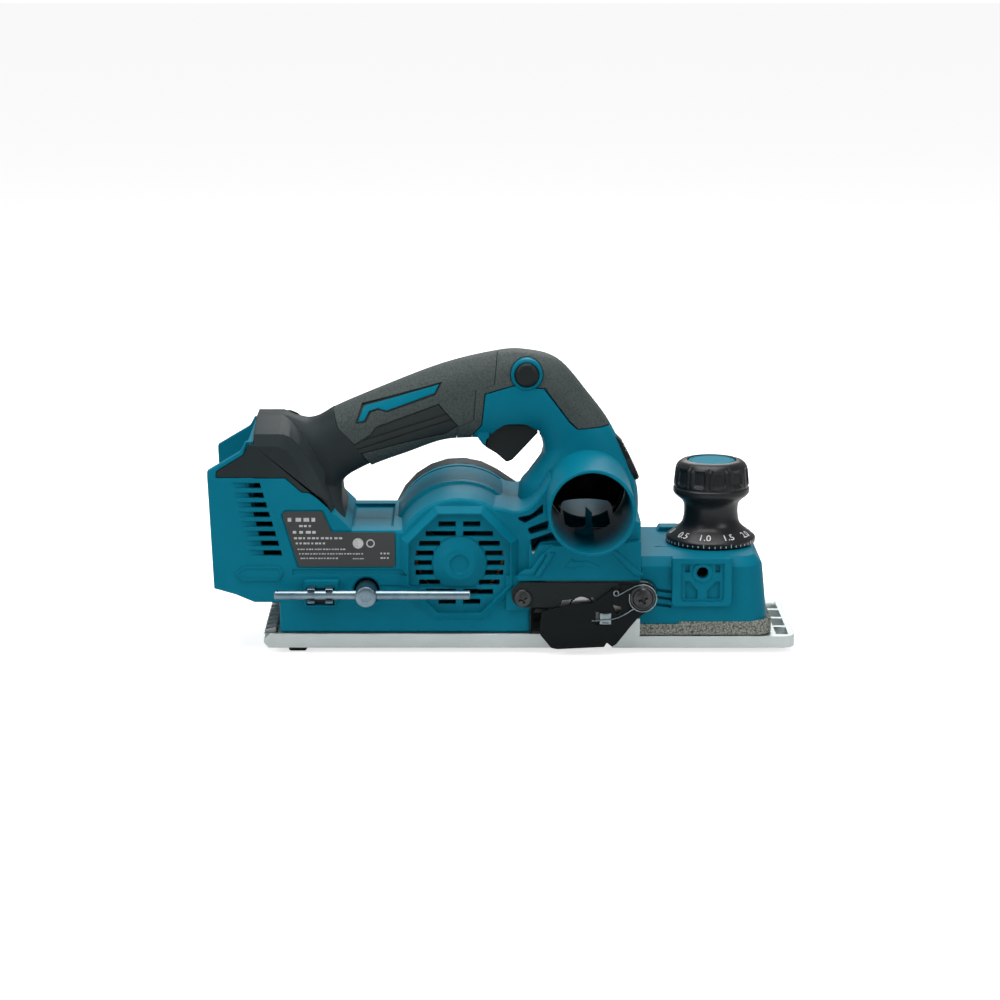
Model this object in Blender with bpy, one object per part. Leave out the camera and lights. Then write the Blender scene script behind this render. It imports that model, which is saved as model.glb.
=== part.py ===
"""Cordless electric hand planer, 82 mm wide, without its battery.

Row frame: +X is the planing direction, +Y the belt side, +Z up. The origin is
the middle of the rear sole, so z = 0 is the planed surface. Lengths below are
in millimetres, and become metres where vertices are made.
"""

import math

import bmesh
import bpy
from mathutils import Matrix, Vector

MM = 0.001
GAP = 0.3

# Sole and cutter
FRONT_SOLE = (110.3, 214.0)
SOLE_HALF = 43.5
REAR_THICK = 8.2
FRONT_THICK = 6.7
DEPTH_TRAVEL = 4.0
DRUM_X, DRUM_Z = 92.9, 23.8
DRUM_R = 22.5
CUT_R = 23.8
PLANING_HALF = 41.0

# Motor and belt
MOTOR_X, MOTOR_Z = 24.0, 49.0
DRUM_PULLEY_R = 14.5
MOTOR_PULLEY_R = 9.5
BELT_Y = (51.5, 60.5)
SHAFT_R = 4.0

# Casing
BODY_HALF = 42.0
WALL = 3.0
DOME_R = 41.0
DRUM_WALL_HALF = 46.8
GRIP_THICK = 2.5
DUCT_X, DUCT_Z = 97.0, 84.6
DUCT_R = 24.4
DUCT_BORE = 22.4
DUCT_Y = (-75.0, 81.0)
BAY_X = -94.4

# Controls
KNOB_X = 168.5
BUTTON_X, BUTTON_Z = 62.0, 152.0
BUTTON_R = 6.8
TRIGGER_PIVOT = (64.5, 119.5)
COVER_PIVOT = (127.0, 30.5)
FOOT_PIVOT = (-60.0, 4.6)
FOOT_Y = (-38.4, -27.6)
WRENCH_X, WRENCH_Z, WRENCH_Y = -28.4, 32.8, -52.0
LEVER_AXIS = Vector((0.907, 0.0, 0.421)).normalized()

COLOURS = {
    "teal_plastic": ((0.006, 0.155, 0.215), 0.45, 0.0),
    "elastomer": ((0.035, 0.045, 0.043), 0.85, 0.0),
    "black_plastic": ((0.02, 0.026, 0.028), 0.5, 0.0),
    "knob_plastic": ((0.012, 0.012, 0.013), 0.4, 0.0),
    "aluminium": ((0.55, 0.58, 0.58), 0.35, 1.0),
    "black_steel": ((0.012, 0.016, 0.016), 0.4, 1.0),
    "bright_steel": ((0.6, 0.62, 0.64), 0.25, 1.0),
    "zinc_steel": ((0.45, 0.52, 0.56), 0.3, 1.0),
    "belt_rubber": ((0.015, 0.015, 0.015), 0.8, 0.0),
    "foam": ((0.17, 0.18, 0.17), 0.95, 0.0),
    "copper_winding": ((0.5, 0.2, 0.08), 0.4, 1.0),
    "label_film": ((0.04, 0.042, 0.043), 0.5, 0.0),
}


def clear_scene():
    for obj in list(bpy.data.objects):
        bpy.data.objects.remove(obj, do_unlink=True)


def material(name):
    found = bpy.data.materials.get(name)
    if found:
        return found
    colour, roughness, metallic = COLOURS[name]
    made = bpy.data.materials.new(name)
    made.use_nodes = True
    shader = made.node_tree.nodes["Principled BSDF"]
    shader.inputs["Base Color"].default_value = (*colour, 1.0)
    shader.inputs["Roughness"].default_value = roughness
    shader.inputs["Metallic"].default_value = metallic
    return made


def finish(bm, name, finish_name):
    """Closes a bmesh into a linked object, with its faces turned outwards."""
    bmesh.ops.recalc_face_normals(bm, faces=bm.faces)
    mesh = bpy.data.meshes.new(name)
    bm.to_mesh(mesh)
    bm.free()
    obj = bpy.data.objects.new(name, mesh)
    bpy.context.scene.collection.objects.link(obj)
    if finish_name:
        mesh.materials.append(material(finish_name))
    return obj


def at(x, y, z):
    return Vector((x * MM, y * MM, z * MM))


def rings_to_solid(rings, name, finish_name=None):
    """Skins a row of closed rings with the same number of points, and caps both ends."""
    bm = bmesh.new()
    loops = [[bm.verts.new(at(*p)) for p in ring] for ring in rings]
    for low, high in zip(loops, loops[1:]):
        for i in range(len(low)):
            j = (i + 1) % len(low)
            bm.faces.new((low[i], low[j], high[j], high[i]))
    bm.faces.new(loops[0][::-1])
    bm.faces.new(loops[-1])
    return finish(bm, name, finish_name)


def rounded(corners, steps=4):
    """A closed outline whose corners (a, b, radius) are turned into arcs."""
    outline = []
    count = len(corners)
    for i, corner in enumerate(corners):
        radius = corner[2] if len(corner) > 2 else 0.0
        here = Vector(corner[:2])
        if radius <= 0.0:
            outline.append(tuple(here))
            continue
        back = (Vector(corners[i - 1][:2]) - here).normalized()
        ahead = (Vector(corners[(i + 1) % count][:2]) - here).normalized()
        half = back.angle(ahead) / 2
        centre = here + (back + ahead).normalized() * radius / math.sin(half)
        first = here + back * radius / math.tan(half) - centre
        last = here + ahead * radius / math.tan(half) - centre
        turn = first.angle_signed(last)
        for k in range(steps + 1):
            a = -turn * k / steps
            c, s = math.cos(a), math.sin(a)
            outline.append((centre.x + first.x * c - first.y * s, centre.y + first.x * s + first.y * c))
    return outline


def prism(name, outline, y0, y1, finish_name=None):
    """An XZ outline pushed from y0 to y1."""
    return rings_to_solid([[(x, y, z) for x, z in outline] for y in (y0, y1)], name, finish_name)


def slab(name, x, y, z, finish_name=None):
    return prism(name, [(x[0], z[0]), (x[1], z[0]), (x[1], z[1]), (x[0], z[1])], y[0], y[1], finish_name)


def circle(cx, cz, r, count=24, start=0.0, sweep=math.tau):
    steps = count if sweep == math.tau else count + 1
    return [
        (cx + r * math.cos(start + sweep * i / count), cz + r * math.sin(start + sweep * i / count))
        for i in range(steps)
    ]


def disc(name, cx, cz, r, y0, y1, finish_name=None, count=20):
    """A round bar along Y."""
    return prism(name, circle(cx, cz, r, count), y0, y1, finish_name)


def rod(name, start, end, r, finish_name=None, count=16):
    """A round bar between two points."""
    a, b = Vector(start), Vector(end)
    turn = (b - a).to_track_quat("Z", "Y").to_matrix()
    rings = []
    for p in (a, b):
        rings.append([tuple(p + turn @ Vector((x, y, 0))) for x, y in circle(0, 0, r, count)])
    return rings_to_solid(rings, name, finish_name)


def turned(name, cx, cy, profile, finish_name=None, count=24):
    """A solid turned about the vertical through (cx, cy), from (radius, z) pairs."""
    rings = [[(cx + x, cy + y, z) for x, y in circle(0, 0, r, count)] for r, z in profile]
    return rings_to_solid(rings, name, finish_name)


def turned_y(name, cx, cz, profile, finish_name=None, count=20):
    """A solid turned about the line along Y through (cx, cz), from (radius, y) pairs."""
    rings = [[(x, y, z) for x, z in circle(cx, cz, r, count)] for r, y in profile]
    return rings_to_solid(rings, name, finish_name)


def tube_along(name, path, r, finish_name=None, sides=6):
    """A wire along a list of points, its section kept square to the path."""
    points = [Vector(p) for p in path]
    rings = []
    for i, p in enumerate(points):
        ahead = points[min(i + 1, len(points) - 1)] - points[max(i - 1, 0)]
        across = ahead.normalized().cross(Vector((0, 1, 0)))
        if across.length < 0.2:
            across = ahead.normalized().cross(Vector((0, 0, 1)))
        across.normalize()
        up = across.cross(ahead.normalized())
        rings.append([tuple(p + across * a + up * b) for a, b in circle(0, 0, r, sides)])
    return rings_to_solid(rings, name, finish_name)


def is_closed(mesh):
    """True where the mesh holds a volume and every edge lies between exactly two faces."""
    bm = bmesh.new()
    bm.from_mesh(mesh)
    closed = bm.calc_volume() > MM**3 and all(len(edge.link_faces) == 2 for edge in bm.edges)
    bm.free()
    return closed


def boolean(obj, tool, operation):
    """Applies a Boolean with the EXACT solver, or with MANIFOLD where EXACT leaves the mesh open or empty."""
    modifier = obj.modifiers.new(operation.lower(), "BOOLEAN")
    modifier.object = tool
    modifier.operation = operation
    for solver in ("EXACT", "MANIFOLD"):
        modifier.solver = solver
        bpy.context.view_layer.update()
        graph = bpy.context.evaluated_depsgraph_get()
        mesh = bpy.data.meshes.new_from_object(obj.evaluated_get(graph))
        if is_closed(mesh):
            break
    obj.modifiers.clear()
    obj.data = mesh
    bpy.data.objects.remove(tool, do_unlink=True)
    return obj


def cut(obj, *tools):
    for tool in tools:
        boolean(obj, tool, "DIFFERENCE")
    return obj


def join(obj, *tools):
    for tool in tools:
        boolean(obj, tool, "UNION")
    return obj


def keep(obj, *tools):
    for tool in tools:
        boolean(obj, tool, "INTERSECT")
    return obj


def copy_of(obj, name):
    twin = bpy.data.objects.new(name, obj.data.copy())
    bpy.context.scene.collection.objects.link(twin)
    return twin


def origin_to(obj, x, y, z):
    """Puts the object's origin on its joint's axis."""
    place = at(x, y, z)
    obj.data.transform(Matrix.Translation(-place))
    obj.location = place


def finish_as(obj, finish_name):
    obj.data.materials.clear()
    obj.data.materials.append(material(finish_name))


# The handle is a row of stations: its upper and lower points in the middle plane, and its half-width.
HANDLE = {
    "root": ((-84.0, 112.0), (-66.0, 70.0), 20.0),
    "neck": ((-66.0, 119.0), (-47.0, 84.0), 17.0),
    "seam": ((-48.8, 130.0), (-27.6, 98.2), 17.5),
    "palm": ((-18.0, 143.3), (-4.0, 106.3), 17.5),
    "crown": ((14.0, 155.6), (14.0, 112.0), 17.5),
    "split": ((42.0, 162.6), (30.0, 113.4), 17.5),
    "top": ((60.0, 164.3), (49.0, 113.6), 17.5),
    "bend": ((80.0, 158.3), (67.5, 117.0), 17.5),
    "brow": ((98.0, 138.0), (72.0, 107.0), 17.5),
    "slope": ((110.0, 121.5), (70.0, 102.0), 18.0),
    "flank": ((118.0, 104.5), (63.0, 92.5), 20.0),
    "foot": ((126.0, 84.0), (58.0, 84.0), 24.0),
    "base": ((126.0, 58.0), (58.0, 58.0), 26.0),
}


def handle_ring(station, inset=0.0, width=None, power=2.6, count=16):
    """A rounded-square ring round the handle at a station, shrunk by inset."""
    top, bottom, half = HANDLE[station]
    top, bottom = Vector((top[0], 0, top[1])), Vector((bottom[0], 0, bottom[1]))
    centre = (top + bottom) / 2
    up = (top - bottom).normalized()
    high = (top - bottom).length / 2 - inset
    wide = (width or half) - inset
    ring = []
    for i in range(count):
        a = math.tau * i / count
        c, s = math.cos(a), math.sin(a)
        u = math.copysign(abs(c) ** (2 / power), c) * high
        v = math.copysign(abs(s) ** (2 / power), s) * wide
        ring.append(tuple(centre + up * u + Vector((0, v, 0))))
    return ring


def handle_run(name, stations, inset=0.0, finish_name=None):
    return rings_to_solid([handle_ring(s, inset) for s in stations], name, finish_name)


def belt_outline(motor_r, drum_r, count=14):
    """The line of a tight belt round two circles on the motor's and the drum's axes."""
    reach = Vector((DRUM_X - MOTOR_X, DRUM_Z - MOTOR_Z))
    lean = math.atan2(reach.y, reach.x)
    open_angle = math.acos((motor_r - drum_r) / reach.length)
    motor = circle(MOTOR_X, MOTOR_Z, motor_r, count, lean + open_angle, math.tau - 2 * open_angle)
    drum = circle(DRUM_X, DRUM_Z, drum_r, count, lean - open_angle, 2 * open_angle)
    return motor + drum


# The front grip lies above this line on both flanks; the teal casing shows below it.
GRIP_LINE = [(36.5, 96), (36.5, 123), (38.5, 141), (54, 145.6), (72, 144), (86.5, 124.9), (91, 120.8), (107.5, 121.6)]
FRONT_GRIP_AREA = [(30.3, 90), (30.3, 118), (44.2, 155), (44.2, 180), (118, 180), (112, 126), *GRIP_LINE[::-1]]


def casing():
    """The two moulded casing halves, made whole, hollowed, and parted along the middle plane."""
    body = prism(
        "casing",
        rounded([(-77.6, 8.5, 2), (64, 8.5), (64, 41.2), (66, 60), (50, 68), (-44, 68), (-60, 60), (-77.6, 40)]),
        0.1 - BODY_HALF,
        BODY_HALF - 0.1,
    )
    rear = [
        (-114.4, 34), (-117.3, 98), (-117.3, 101.4), (-98.5, 112.6), (-95.6, 122), (-94.6, 128), (-91.4, 128),
        (-91.4, 97.6), (-73.6, 97.6), (-64.7, 89.6), (-60.3, 89.1), (-53, 84.9), (-47.2, 77.6), (-45.2, 66),
        (-45.2, 26), (-91.7, 26), (-102.1, 30.4),
    ]
    join(
        body,
        prism("rear_block", rear, -BODY_HALF, BODY_HALF),
        turned_y("dome", MOTOR_X, MOTOR_Z, [(33.6, -42.1), (37.4, -40.5), (DOME_R, -34), (DOME_R, 34), (37.4, 40.5), (33.6, 42.1)], count=36),
        slab("drum_wall", (50, 126), (-DRUM_WALL_HALF, DRUM_WALL_HALF), (41.2, 62)),
        slab("plate_pad", (50.2, 63.8), (-44.5, 44.5), (22, 42)),
        prism("web", [(46, 60), (56, 79), (74, 95), (90, 80), (126, 72), (126, 60)], -34, 34),
        shown_handle(),
        prism("belt_back", belt_outline(39.6, 22), 41, DRUM_WALL_HALF - 0.2),
    )
    hollow_out(body)
    grip_core(body)
    duct(body)
    side_openings(body)
    finish_as(body, "teal_plastic")
    left = copy_of(body, "housing_left")
    cut(left, slab("cutter", (-200, 250), (-200, GAP / 2), (-50, 250)))
    cut(body, slab("cutter", (-200, 250), (-GAP / 2, 200), (-50, 250)))
    body.name = "housing_right"


def hollow_out(body):
    inner = BODY_HALF - WALL
    cut(
        body,
        slab("cavity", (-74.6, 61), (-inner, inner), (0, 65)),
        slab("frame_room", (50, 70), (-38.95, 38.95), (-5, 56.3)),
        slab("drum_room", (64.1, 140), (-44.7, 44.7), (-5, 56.25)),
        slab("low_opening", (64.05, 140), (-60, 60), (-5, 41.15)),
        disc("dome_room", MOTOR_X, MOTOR_Z, DOME_R - WALL, -33, 33, count=28),
        prism("rear_room", [(-91.4, 29), (-38, 29), (-38, 65), (-50, 79), (-56, 86), (-76, 94), (-76, 110), (-91.4, 110)], 0.1 - inner, inner - 0.1),
        prism("bay", [(-130, 39.5), (-103, 33.4), (BAY_X, 30), (BAY_X, 150), (-130, 150)], -37, 37),
        handle_run("pillar_room", ["slope", "flank", "foot", "base"], 3.0),
        slab("chute", (84, 110), (-19, 19), (50, 72)),
        slab("sole_room", (-100, 140), (-43.9, 43.9), (-5, 8.45)),
    )
    skirt = [(-112.5, 97.7), (-112.2, 101.6), (-97, 111), (-93.6, 122.6), (-93.1, 128.4), (-88, 130), (-88, 97.7)]
    cut(body, prism("skirt_right", skirt, -60, -39.8), prism("skirt_left", skirt, 39.8, 60))


def shown_handle():
    """The part of the handle and pillar that shows below the front grip, at full width."""
    shown = handle_run("shown", ["split", "top", "bend", "brow", "slope", "flank", "foot", "base"])
    line = [(x + (GAP if x < BUTTON_X else -GAP), z - GAP) for x, z in GRIP_LINE[1:]]
    return keep(shown, prism("shown_area", [(36.8, 50), *line, (140, 121), (140, 50)], -40, 40))


def grip_core(body):
    """The hollow core that runs through the handle, wider where it shows round the trigger."""
    core = handle_run("core", ["root", "neck", "seam", "palm", "crown", "split", "top", "bend", "brow"], GRIP_THICK + GAP)
    join(core, disc("button_ring", BUTTON_X, BUTTON_Z, 9.0, -17.9, 17.9))
    join(body, core)
    room = handle_run("room", ["neck", "seam", "palm", "crown", "split", "top", "bend", "brow", "slope"], GRIP_THICK + GAP + 2.4)
    cut(
        body,
        room,
        slab("trigger_slot", (34, 71), (-10.2, 10.2), (80, 124)),
        disc("button_hole", BUTTON_X, BUTTON_Z, BUTTON_R + GAP, -40, 40),
    )


def duct(body):
    """The cross duct that throws chips to either side, with the selector's hole in its front."""
    join(body, disc("duct", DUCT_X, DUCT_Z, DUCT_R, *DUCT_Y, count=28))
    start = Vector((DUCT_X, 0, DUCT_Z)) + LEVER_AXIS * 10
    end = Vector((DUCT_X, 0, DUCT_Z)) + LEVER_AXIS * 40
    cut(
        body,
        disc("bore", DUCT_X, DUCT_Z, DUCT_BORE, -90, 90, count=28),
        slab("chute", (84, 110), (-19, 19), (54, 70)),
        rod("selector_hole", tuple(start), tuple(end), 3.4),
    )


def side_openings(body):
    """The intake grille, the louvres, and the pockets for the wrench, bearings and screws."""
    join(body, turned_y("grille_ring", MOTOR_X, MOTOR_Z, [(31, -41.5), (31, -42.6), (27.5, -44)], count=8))
    cut(body, disc("grille_pocket", MOTOR_X, MOTOR_Z, 25.6, -60, -42.2, count=32))
    for row in range(9):
        z = MOTOR_Z + 5.8 * (row - 4)
        far = math.sqrt(24.6**2 - (z - MOTOR_Z) ** 2)
        near = max(2.3, math.sqrt(max(15.6**2 - (z - MOTOR_Z) ** 2, 0)))
        if far - near < 2:
            continue
        for side in (-1, 1):
            x = sorted((MOTOR_X + side * near, MOTOR_X + side * far))
            cut(body, slab("slot", x, (-60, -30), (z - 1.4, z + 1.4)))
    for row in range(8):
        z = 93.2 - 5.5 * row
        x = -87.2 + 1.6 * row
        cut(body, slab("louvre", (x - 12.5, x), (-60, -35), (z - 1.3, z + 1.3)))
    join(
        body,
        disc("bearing_boss", MOTOR_X, MOTOR_Z, 13.0, -40, -32.0),
    )
    cut(
        body,
        disc("bearing_seat", MOTOR_X, MOTOR_Z, 9.5 + GAP, -38.9, -30),
        disc("left_bearing_seat", MOTOR_X, MOTOR_Z, 11.0 + GAP, 30, 60),
        disc("wrench_hole", WRENCH_X, WRENCH_Z, 7.2, -60, -35),
        slab("clip_window", (-60.5, -47.5), (-60, -35), (27.5, 38.1)),
        slab("terminal_window", (-98, -88), (-14.3, 14.3), (58, 82)),
    )
    for x, z in HOUSING_SCREWS:
        cut(body, disc("screw_hole", x, z, 3.8, 30, 60, count=12))
    cut(body, disc("plate_screw_hole", *PLATE_SCREW, 2.7, -60, -30, count=12))


PLATE_SCREW = (59.6, 29.9)
HOUSING_SCREWS = [(-44.0, 26.0), (-80.0, 84.0), (-30.0, 58.0)]


def housing_screws():
    for number, (x, z) in enumerate(HOUSING_SCREWS, 1):
        profile = [(1.6, 26.0), (1.6, 38.4), (3.5, 38.4), (3.5, 41.2)]
        turned_y(f"housing_screw_{number}", x, z, profile, "black_steel", count=12)


# The rear shroud's stations: upper and lower points in the middle plane, half-width, squareness.
SHROUD = [
    ((-91.1, 128.5), (-91.1, 58), 42.0, 3.2),
    ((-76.0, 129.0), (-74.0, 58), 42.0, 3.2),
    ((-66.0, 127.5), (-57.0, 62), 36.5, 2.9),
    ((-56.5, 128.0), (-42.0, 78), 24.5, 2.7),
    ((-49.0, 130.0), (-27.9, 98.2), 17.5, 2.6),
]


def shroud_run(name, inset, reach=0.0):
    rings = []
    for (tx, tz), (bx, bz), half, power in SHROUD:
        HANDLE["shroud"] = ((tx, tz), (bx, bz), half)
        rings.append(handle_ring("shroud", inset, power=power, count=24))
    rings[0] = [(x - reach, y, z) for x, y, z in rings[0]]
    lead = (Vector(rings[-1][0]) - Vector(rings[-2][0])).normalized() * reach
    rings[-1] = [(x + lead.x, y, z + lead.z) for x, y, z in rings[-1]]
    return rings_to_solid(rings, name)


def rear_shroud():
    """The black cover over the top of the rear block, which turns into the root of the handle."""
    shell = shroud_run("rear_shroud", 0.0)
    cut(shell, shroud_run("shroud_room", 2.4, 1.0))
    area = [
        (-91.1, 97.9), (-73.5, 97.9), (-64.5, 89.9), (-60.1, 89.4), (-52.8, 85.2), (-46.9, 77.9), (-44.5, 68.3),
        (-20, 68.3), (-20, 150), (-91.1, 150),
    ]
    keep(shell, prism("shroud_area", area, -60, 60))
    skirt = [(-112.2, 98), (-111.9, 101.3), (-96.8, 110.7), (-93.3, 122.4), (-92, 126), (-88.5, 112), (-88.5, 98)]
    join(shell, prism("skirt_right", skirt, -42, -40.1), prism("skirt_left", skirt, 40.1, 42))
    finish_as(shell, "black_plastic")


def sleeve(name, stations, reach):
    skin = handle_run(name, stations)
    bore = [handle_ring(s, GRIP_THICK) for s in stations]
    for end, near in ((0, 1), (-1, -2)):
        lead = (Vector(HANDLE[stations[end]][0]) - Vector(HANDLE[stations[near]][0])).normalized() * reach
        bore[end] = [(x + lead.x, y, z + lead.y) for x, y, z in bore[end]]
    return cut(skin, rings_to_solid(bore, "bore"))


def grips():
    rear = sleeve("grip_rear", ["seam", "palm", "crown", "split"], 1.0)
    cut(rear, prism("split_gap", [(29.9, 90), (29.9, 118), (43.8, 155), (43.8, 180), (60, 180), (60, 90)], -40, 40))
    finish_as(rear, "elastomer")
    front = sleeve("grip_front", ["crown", "split", "top", "bend", "brow", "slope"], 1.0)
    keep(front, prism("front_area", FRONT_GRIP_AREA, -40, 40))
    cut(front, disc("ring_hole", BUTTON_X, BUTTON_Z, 9.0 + GAP, -40, 40))
    finish_as(front, "elastomer")


def plan_ring(x0, x1, half, radius, z, steps=4):
    outline = rounded([(x0, -half), (x1, -half, radius), (x1, half, radius), (x0, half)], steps)
    return [(x, y, z) for x, y in outline]


def front_housing():
    """The cover over the front base's guide, with the fence boss on both sides."""
    outer = [(198.6, 43, 12, 15.3), (195.2, 43, 12, 48), (191.5, 39, 9, 52)]
    shell = rings_to_solid([plan_ring(126.3, x, half, r, z) for x, half, r, z in outer], "front_housing")
    for side in (-1, 1):
        y = sorted((side * 40, side * 44.6))
        join(shell, slab("fence_boss", (143, 177), y, (24.5, 50.5)))
    inner = [(195.6, 40, 9, 5), (192.2, 40, 9, 45), (190, 37, 7, 49)]
    cut(
        shell,
        rings_to_solid([plan_ring(120, x, half, r, z) for x, half, r, z in inner], "front_room"),
        rod("spindle_hole", (KNOB_X, 0, 40), (KNOB_X, 0, 60), 6.3, count=20),
        disc("fence_hole", 160.7, 44.0, 3.6, -60, 60, count=16),
        prism("lug_room", rounded([(120, 23.6), (135.4, 23.6, 7), (135.4, 39.8, 7), (120, 39.8)]), -60, -37),
        slab("upstand_room", (120, 130), (-60, 60), (10, 22)),
    )
    finish_as(shell, "teal_plastic")


def rear_base():
    """The fixed sole, hollowed round the drum, with the foot's slot and cast pockets at its tail."""
    nose = circle(DRUM_X, DRUM_Z, 25.3, 6, math.radians(218.0), math.radians(32.0))
    base = prism("rear_base", [(-86.6, 3), (-84, 0), *nose[::-1], (72, REAR_THICK), (-83, REAR_THICK), (-86.6, 5)], -SOLE_HALF, SOLE_HALF)
    tail = SOLE_HALF - 3.0
    for i in range(5):
        y = -tail + i * (2 * tail + 2.0) / 5
        cut(base, slab("pocket", (-83.5, -79.0), (y, y + 2 * tail / 5 - 1.6), (2.6, 12)))
    cut(
        base,
        slab("foot_slot", (-76.5, -56.5), (FOOT_Y[0] - 0.6, FOOT_Y[1] + 0.6), (-5, 12)),
        disc("pin_hole", FOOT_PIVOT[0], FOOT_PIVOT[1], 1.8, -42.5, -23.5, count=12),
    )
    finish_as(base, "aluminium")


def main_frame():
    """The casting that carries the drum's bearings, bolted on the rear base and reaching over the front base."""
    block = prism(
        "main_frame",
        [(52, 8.6), (104, 8.6), (110, 22), (125.9, 22), (125.9, 56), (60.5, 56), (56, 41), (52, 41)],
        -44.4,
        44.4,
    )
    cut(
        block,
        disc("drum_room", DRUM_X, DRUM_Z, 25.3, -41.3, 41.3, count=24),
        slab("under_opening", (71, 120), (-41.3, 41.3), (0, 24)),
        slab("chute", (84, 110), (-19, 19), (40, 70)),
        slab("lightening", (46, 62), (-35, 35), (14, 38)),
        slab("right_notch", (40, 64.4), (-60, -38.6), (0, 70)),
        slab("left_notch", (40, 64.4), (38.6, 60), (0, 70)),
    )
    join(
        block,
        prism("pivot_lug", rounded([(120, 24.6), (134.4, 24.6, 7), (134.4, 38.8, 7), (120, 38.8)]), -44.4, -38),
        slab("front_arm", (124, 186), (-28, 28), (34, 39)),
        disc("right_cup", DRUM_X, DRUM_Z, 13.2, -42, -33.6),
        disc("left_cup", DRUM_X, DRUM_Z, 13.2, 43, 49.0),
    )
    cut(
        block,
        disc("right_seat", DRUM_X, DRUM_Z, 11.0 + GAP, -41.2, -30),
        disc("right_hole", DRUM_X, DRUM_Z, 7.2, -60, -40),
        disc("left_seat", DRUM_X, DRUM_Z, 11.0 + GAP, 41.6, 60),
        disc("left_hole", DRUM_X, DRUM_Z, 6.0, 30, 60),
        rod("spindle_hole", (KNOB_X, 0, 30), (KNOB_X, 0, 45), 3.6),
        disc("rear_tap", *PLATE_SCREW, 2.7, -60, -34, count=12),
        disc("pivot_tap", *COVER_PIVOT, 3.3, -60, -35, count=12),
    )
    finish_as(block, "aluminium")


def cutter():
    """The drum with its shaft, two blades, their clamps and bolts, and the driven pulley."""
    drum = disc("cutter_drum", DRUM_X, DRUM_Z, DRUM_R, -PLANING_HALF, PLANING_HALF, count=28)
    cut(drum, disc("end_recess", DRUM_X, DRUM_Z, 14.0, -50, -32.5))
    shaft = [(SHAFT_R, -41.4), (SHAFT_R, 64.0)]
    cap = [(6.5, -45.6), (6.5, -41.7), (SHAFT_R - 0.2, -41.7), (SHAFT_R - 0.2, -38)]
    join(drum, turned_y("shaft", DRUM_X, DRUM_Z, shaft, count=16), turned_y("cap", DRUM_X, DRUM_Z, cap, count=20))
    for side in (1, -1):
        cut(drum, half_slot(side, (14.2, 30), (-3.0, 7.0), (-50, 50)))
        for y in (-28, 0, 28):
            cut(drum, rod("bolt_hole", wheel_point(side, 4, y, 2.7), wheel_point(side, 16, y, 2.7), 2.4, count=12))
    finish_as(drum, "aluminium")
    origin_to(drum, DRUM_X, 0, DRUM_Z)
    for side, letter in ((1, "a"), (-1, "b")):
        blade = half_slot(side, (14.6, CUT_R), (-2.7, -1.6), (-PLANING_HALF, PLANING_HALF), f"blade_{letter}")
        finish_as(blade, "bright_steel")
        origin_to(blade, DRUM_X, 0, DRUM_Z)
        clamp = half_slot(side, (14.6, 20.6), (-1.3, 6.7), (-40.6, 40.6), f"blade_clamp_{letter}")
        for number, y in enumerate((-28, 0, 28), 1):
            cut(clamp, rod("hole", wheel_point(side, 4, y, 2.7), wheel_point(side, 30, y, 2.7), 2.4, count=12))
            bolt = rod(f"blade_bolt_{letter}{number}", wheel_point(side, 5, y, 2.7), wheel_point(side, 20.4, y, 2.7), 2.05, "black_steel", 8)
            origin_to(bolt, DRUM_X, 0, DRUM_Z)
        finish_as(clamp, "bright_steel")
        origin_to(clamp, DRUM_X, 0, DRUM_Z)
    pulley_at("drum_pulley", DRUM_X, DRUM_Z, DRUM_PULLEY_R)


def wheel_point(side, out, y, up):
    return (DRUM_X + side * out, y, DRUM_Z + side * up)


def half_slot(side, out, up, y, name="slot"):
    """A block in the drum's own axes: out from its middle, up along the turn, for either blade."""
    x = sorted((DRUM_X + side * out[0], DRUM_X + side * out[1]))
    z = sorted((DRUM_Z + side * up[0], DRUM_Z + side * up[1]))
    return slab(name, x, y, z)


def pulley_at(name, x, z, r):
    wheel = turned_y(name, x, z, [(r + 1.2, BELT_Y[0] - 1.2), (r + 1.2, BELT_Y[0] - GAP), (r, BELT_Y[0] - GAP), (r, BELT_Y[1] + 0.6)], "black_steel", count=28)
    cut(wheel, disc("bore", x, z, SHAFT_R + GAP, 30, 80, count=16))
    origin_to(wheel, x, 0, z)


def bearing(name, x, z, outer, y0, y1):
    ring = disc(name, x, z, outer, y0, y1, "bright_steel")
    cut(ring, disc("bore", x, z, SHAFT_R + GAP, y0 - 5, y1 + 5, count=16))


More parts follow.
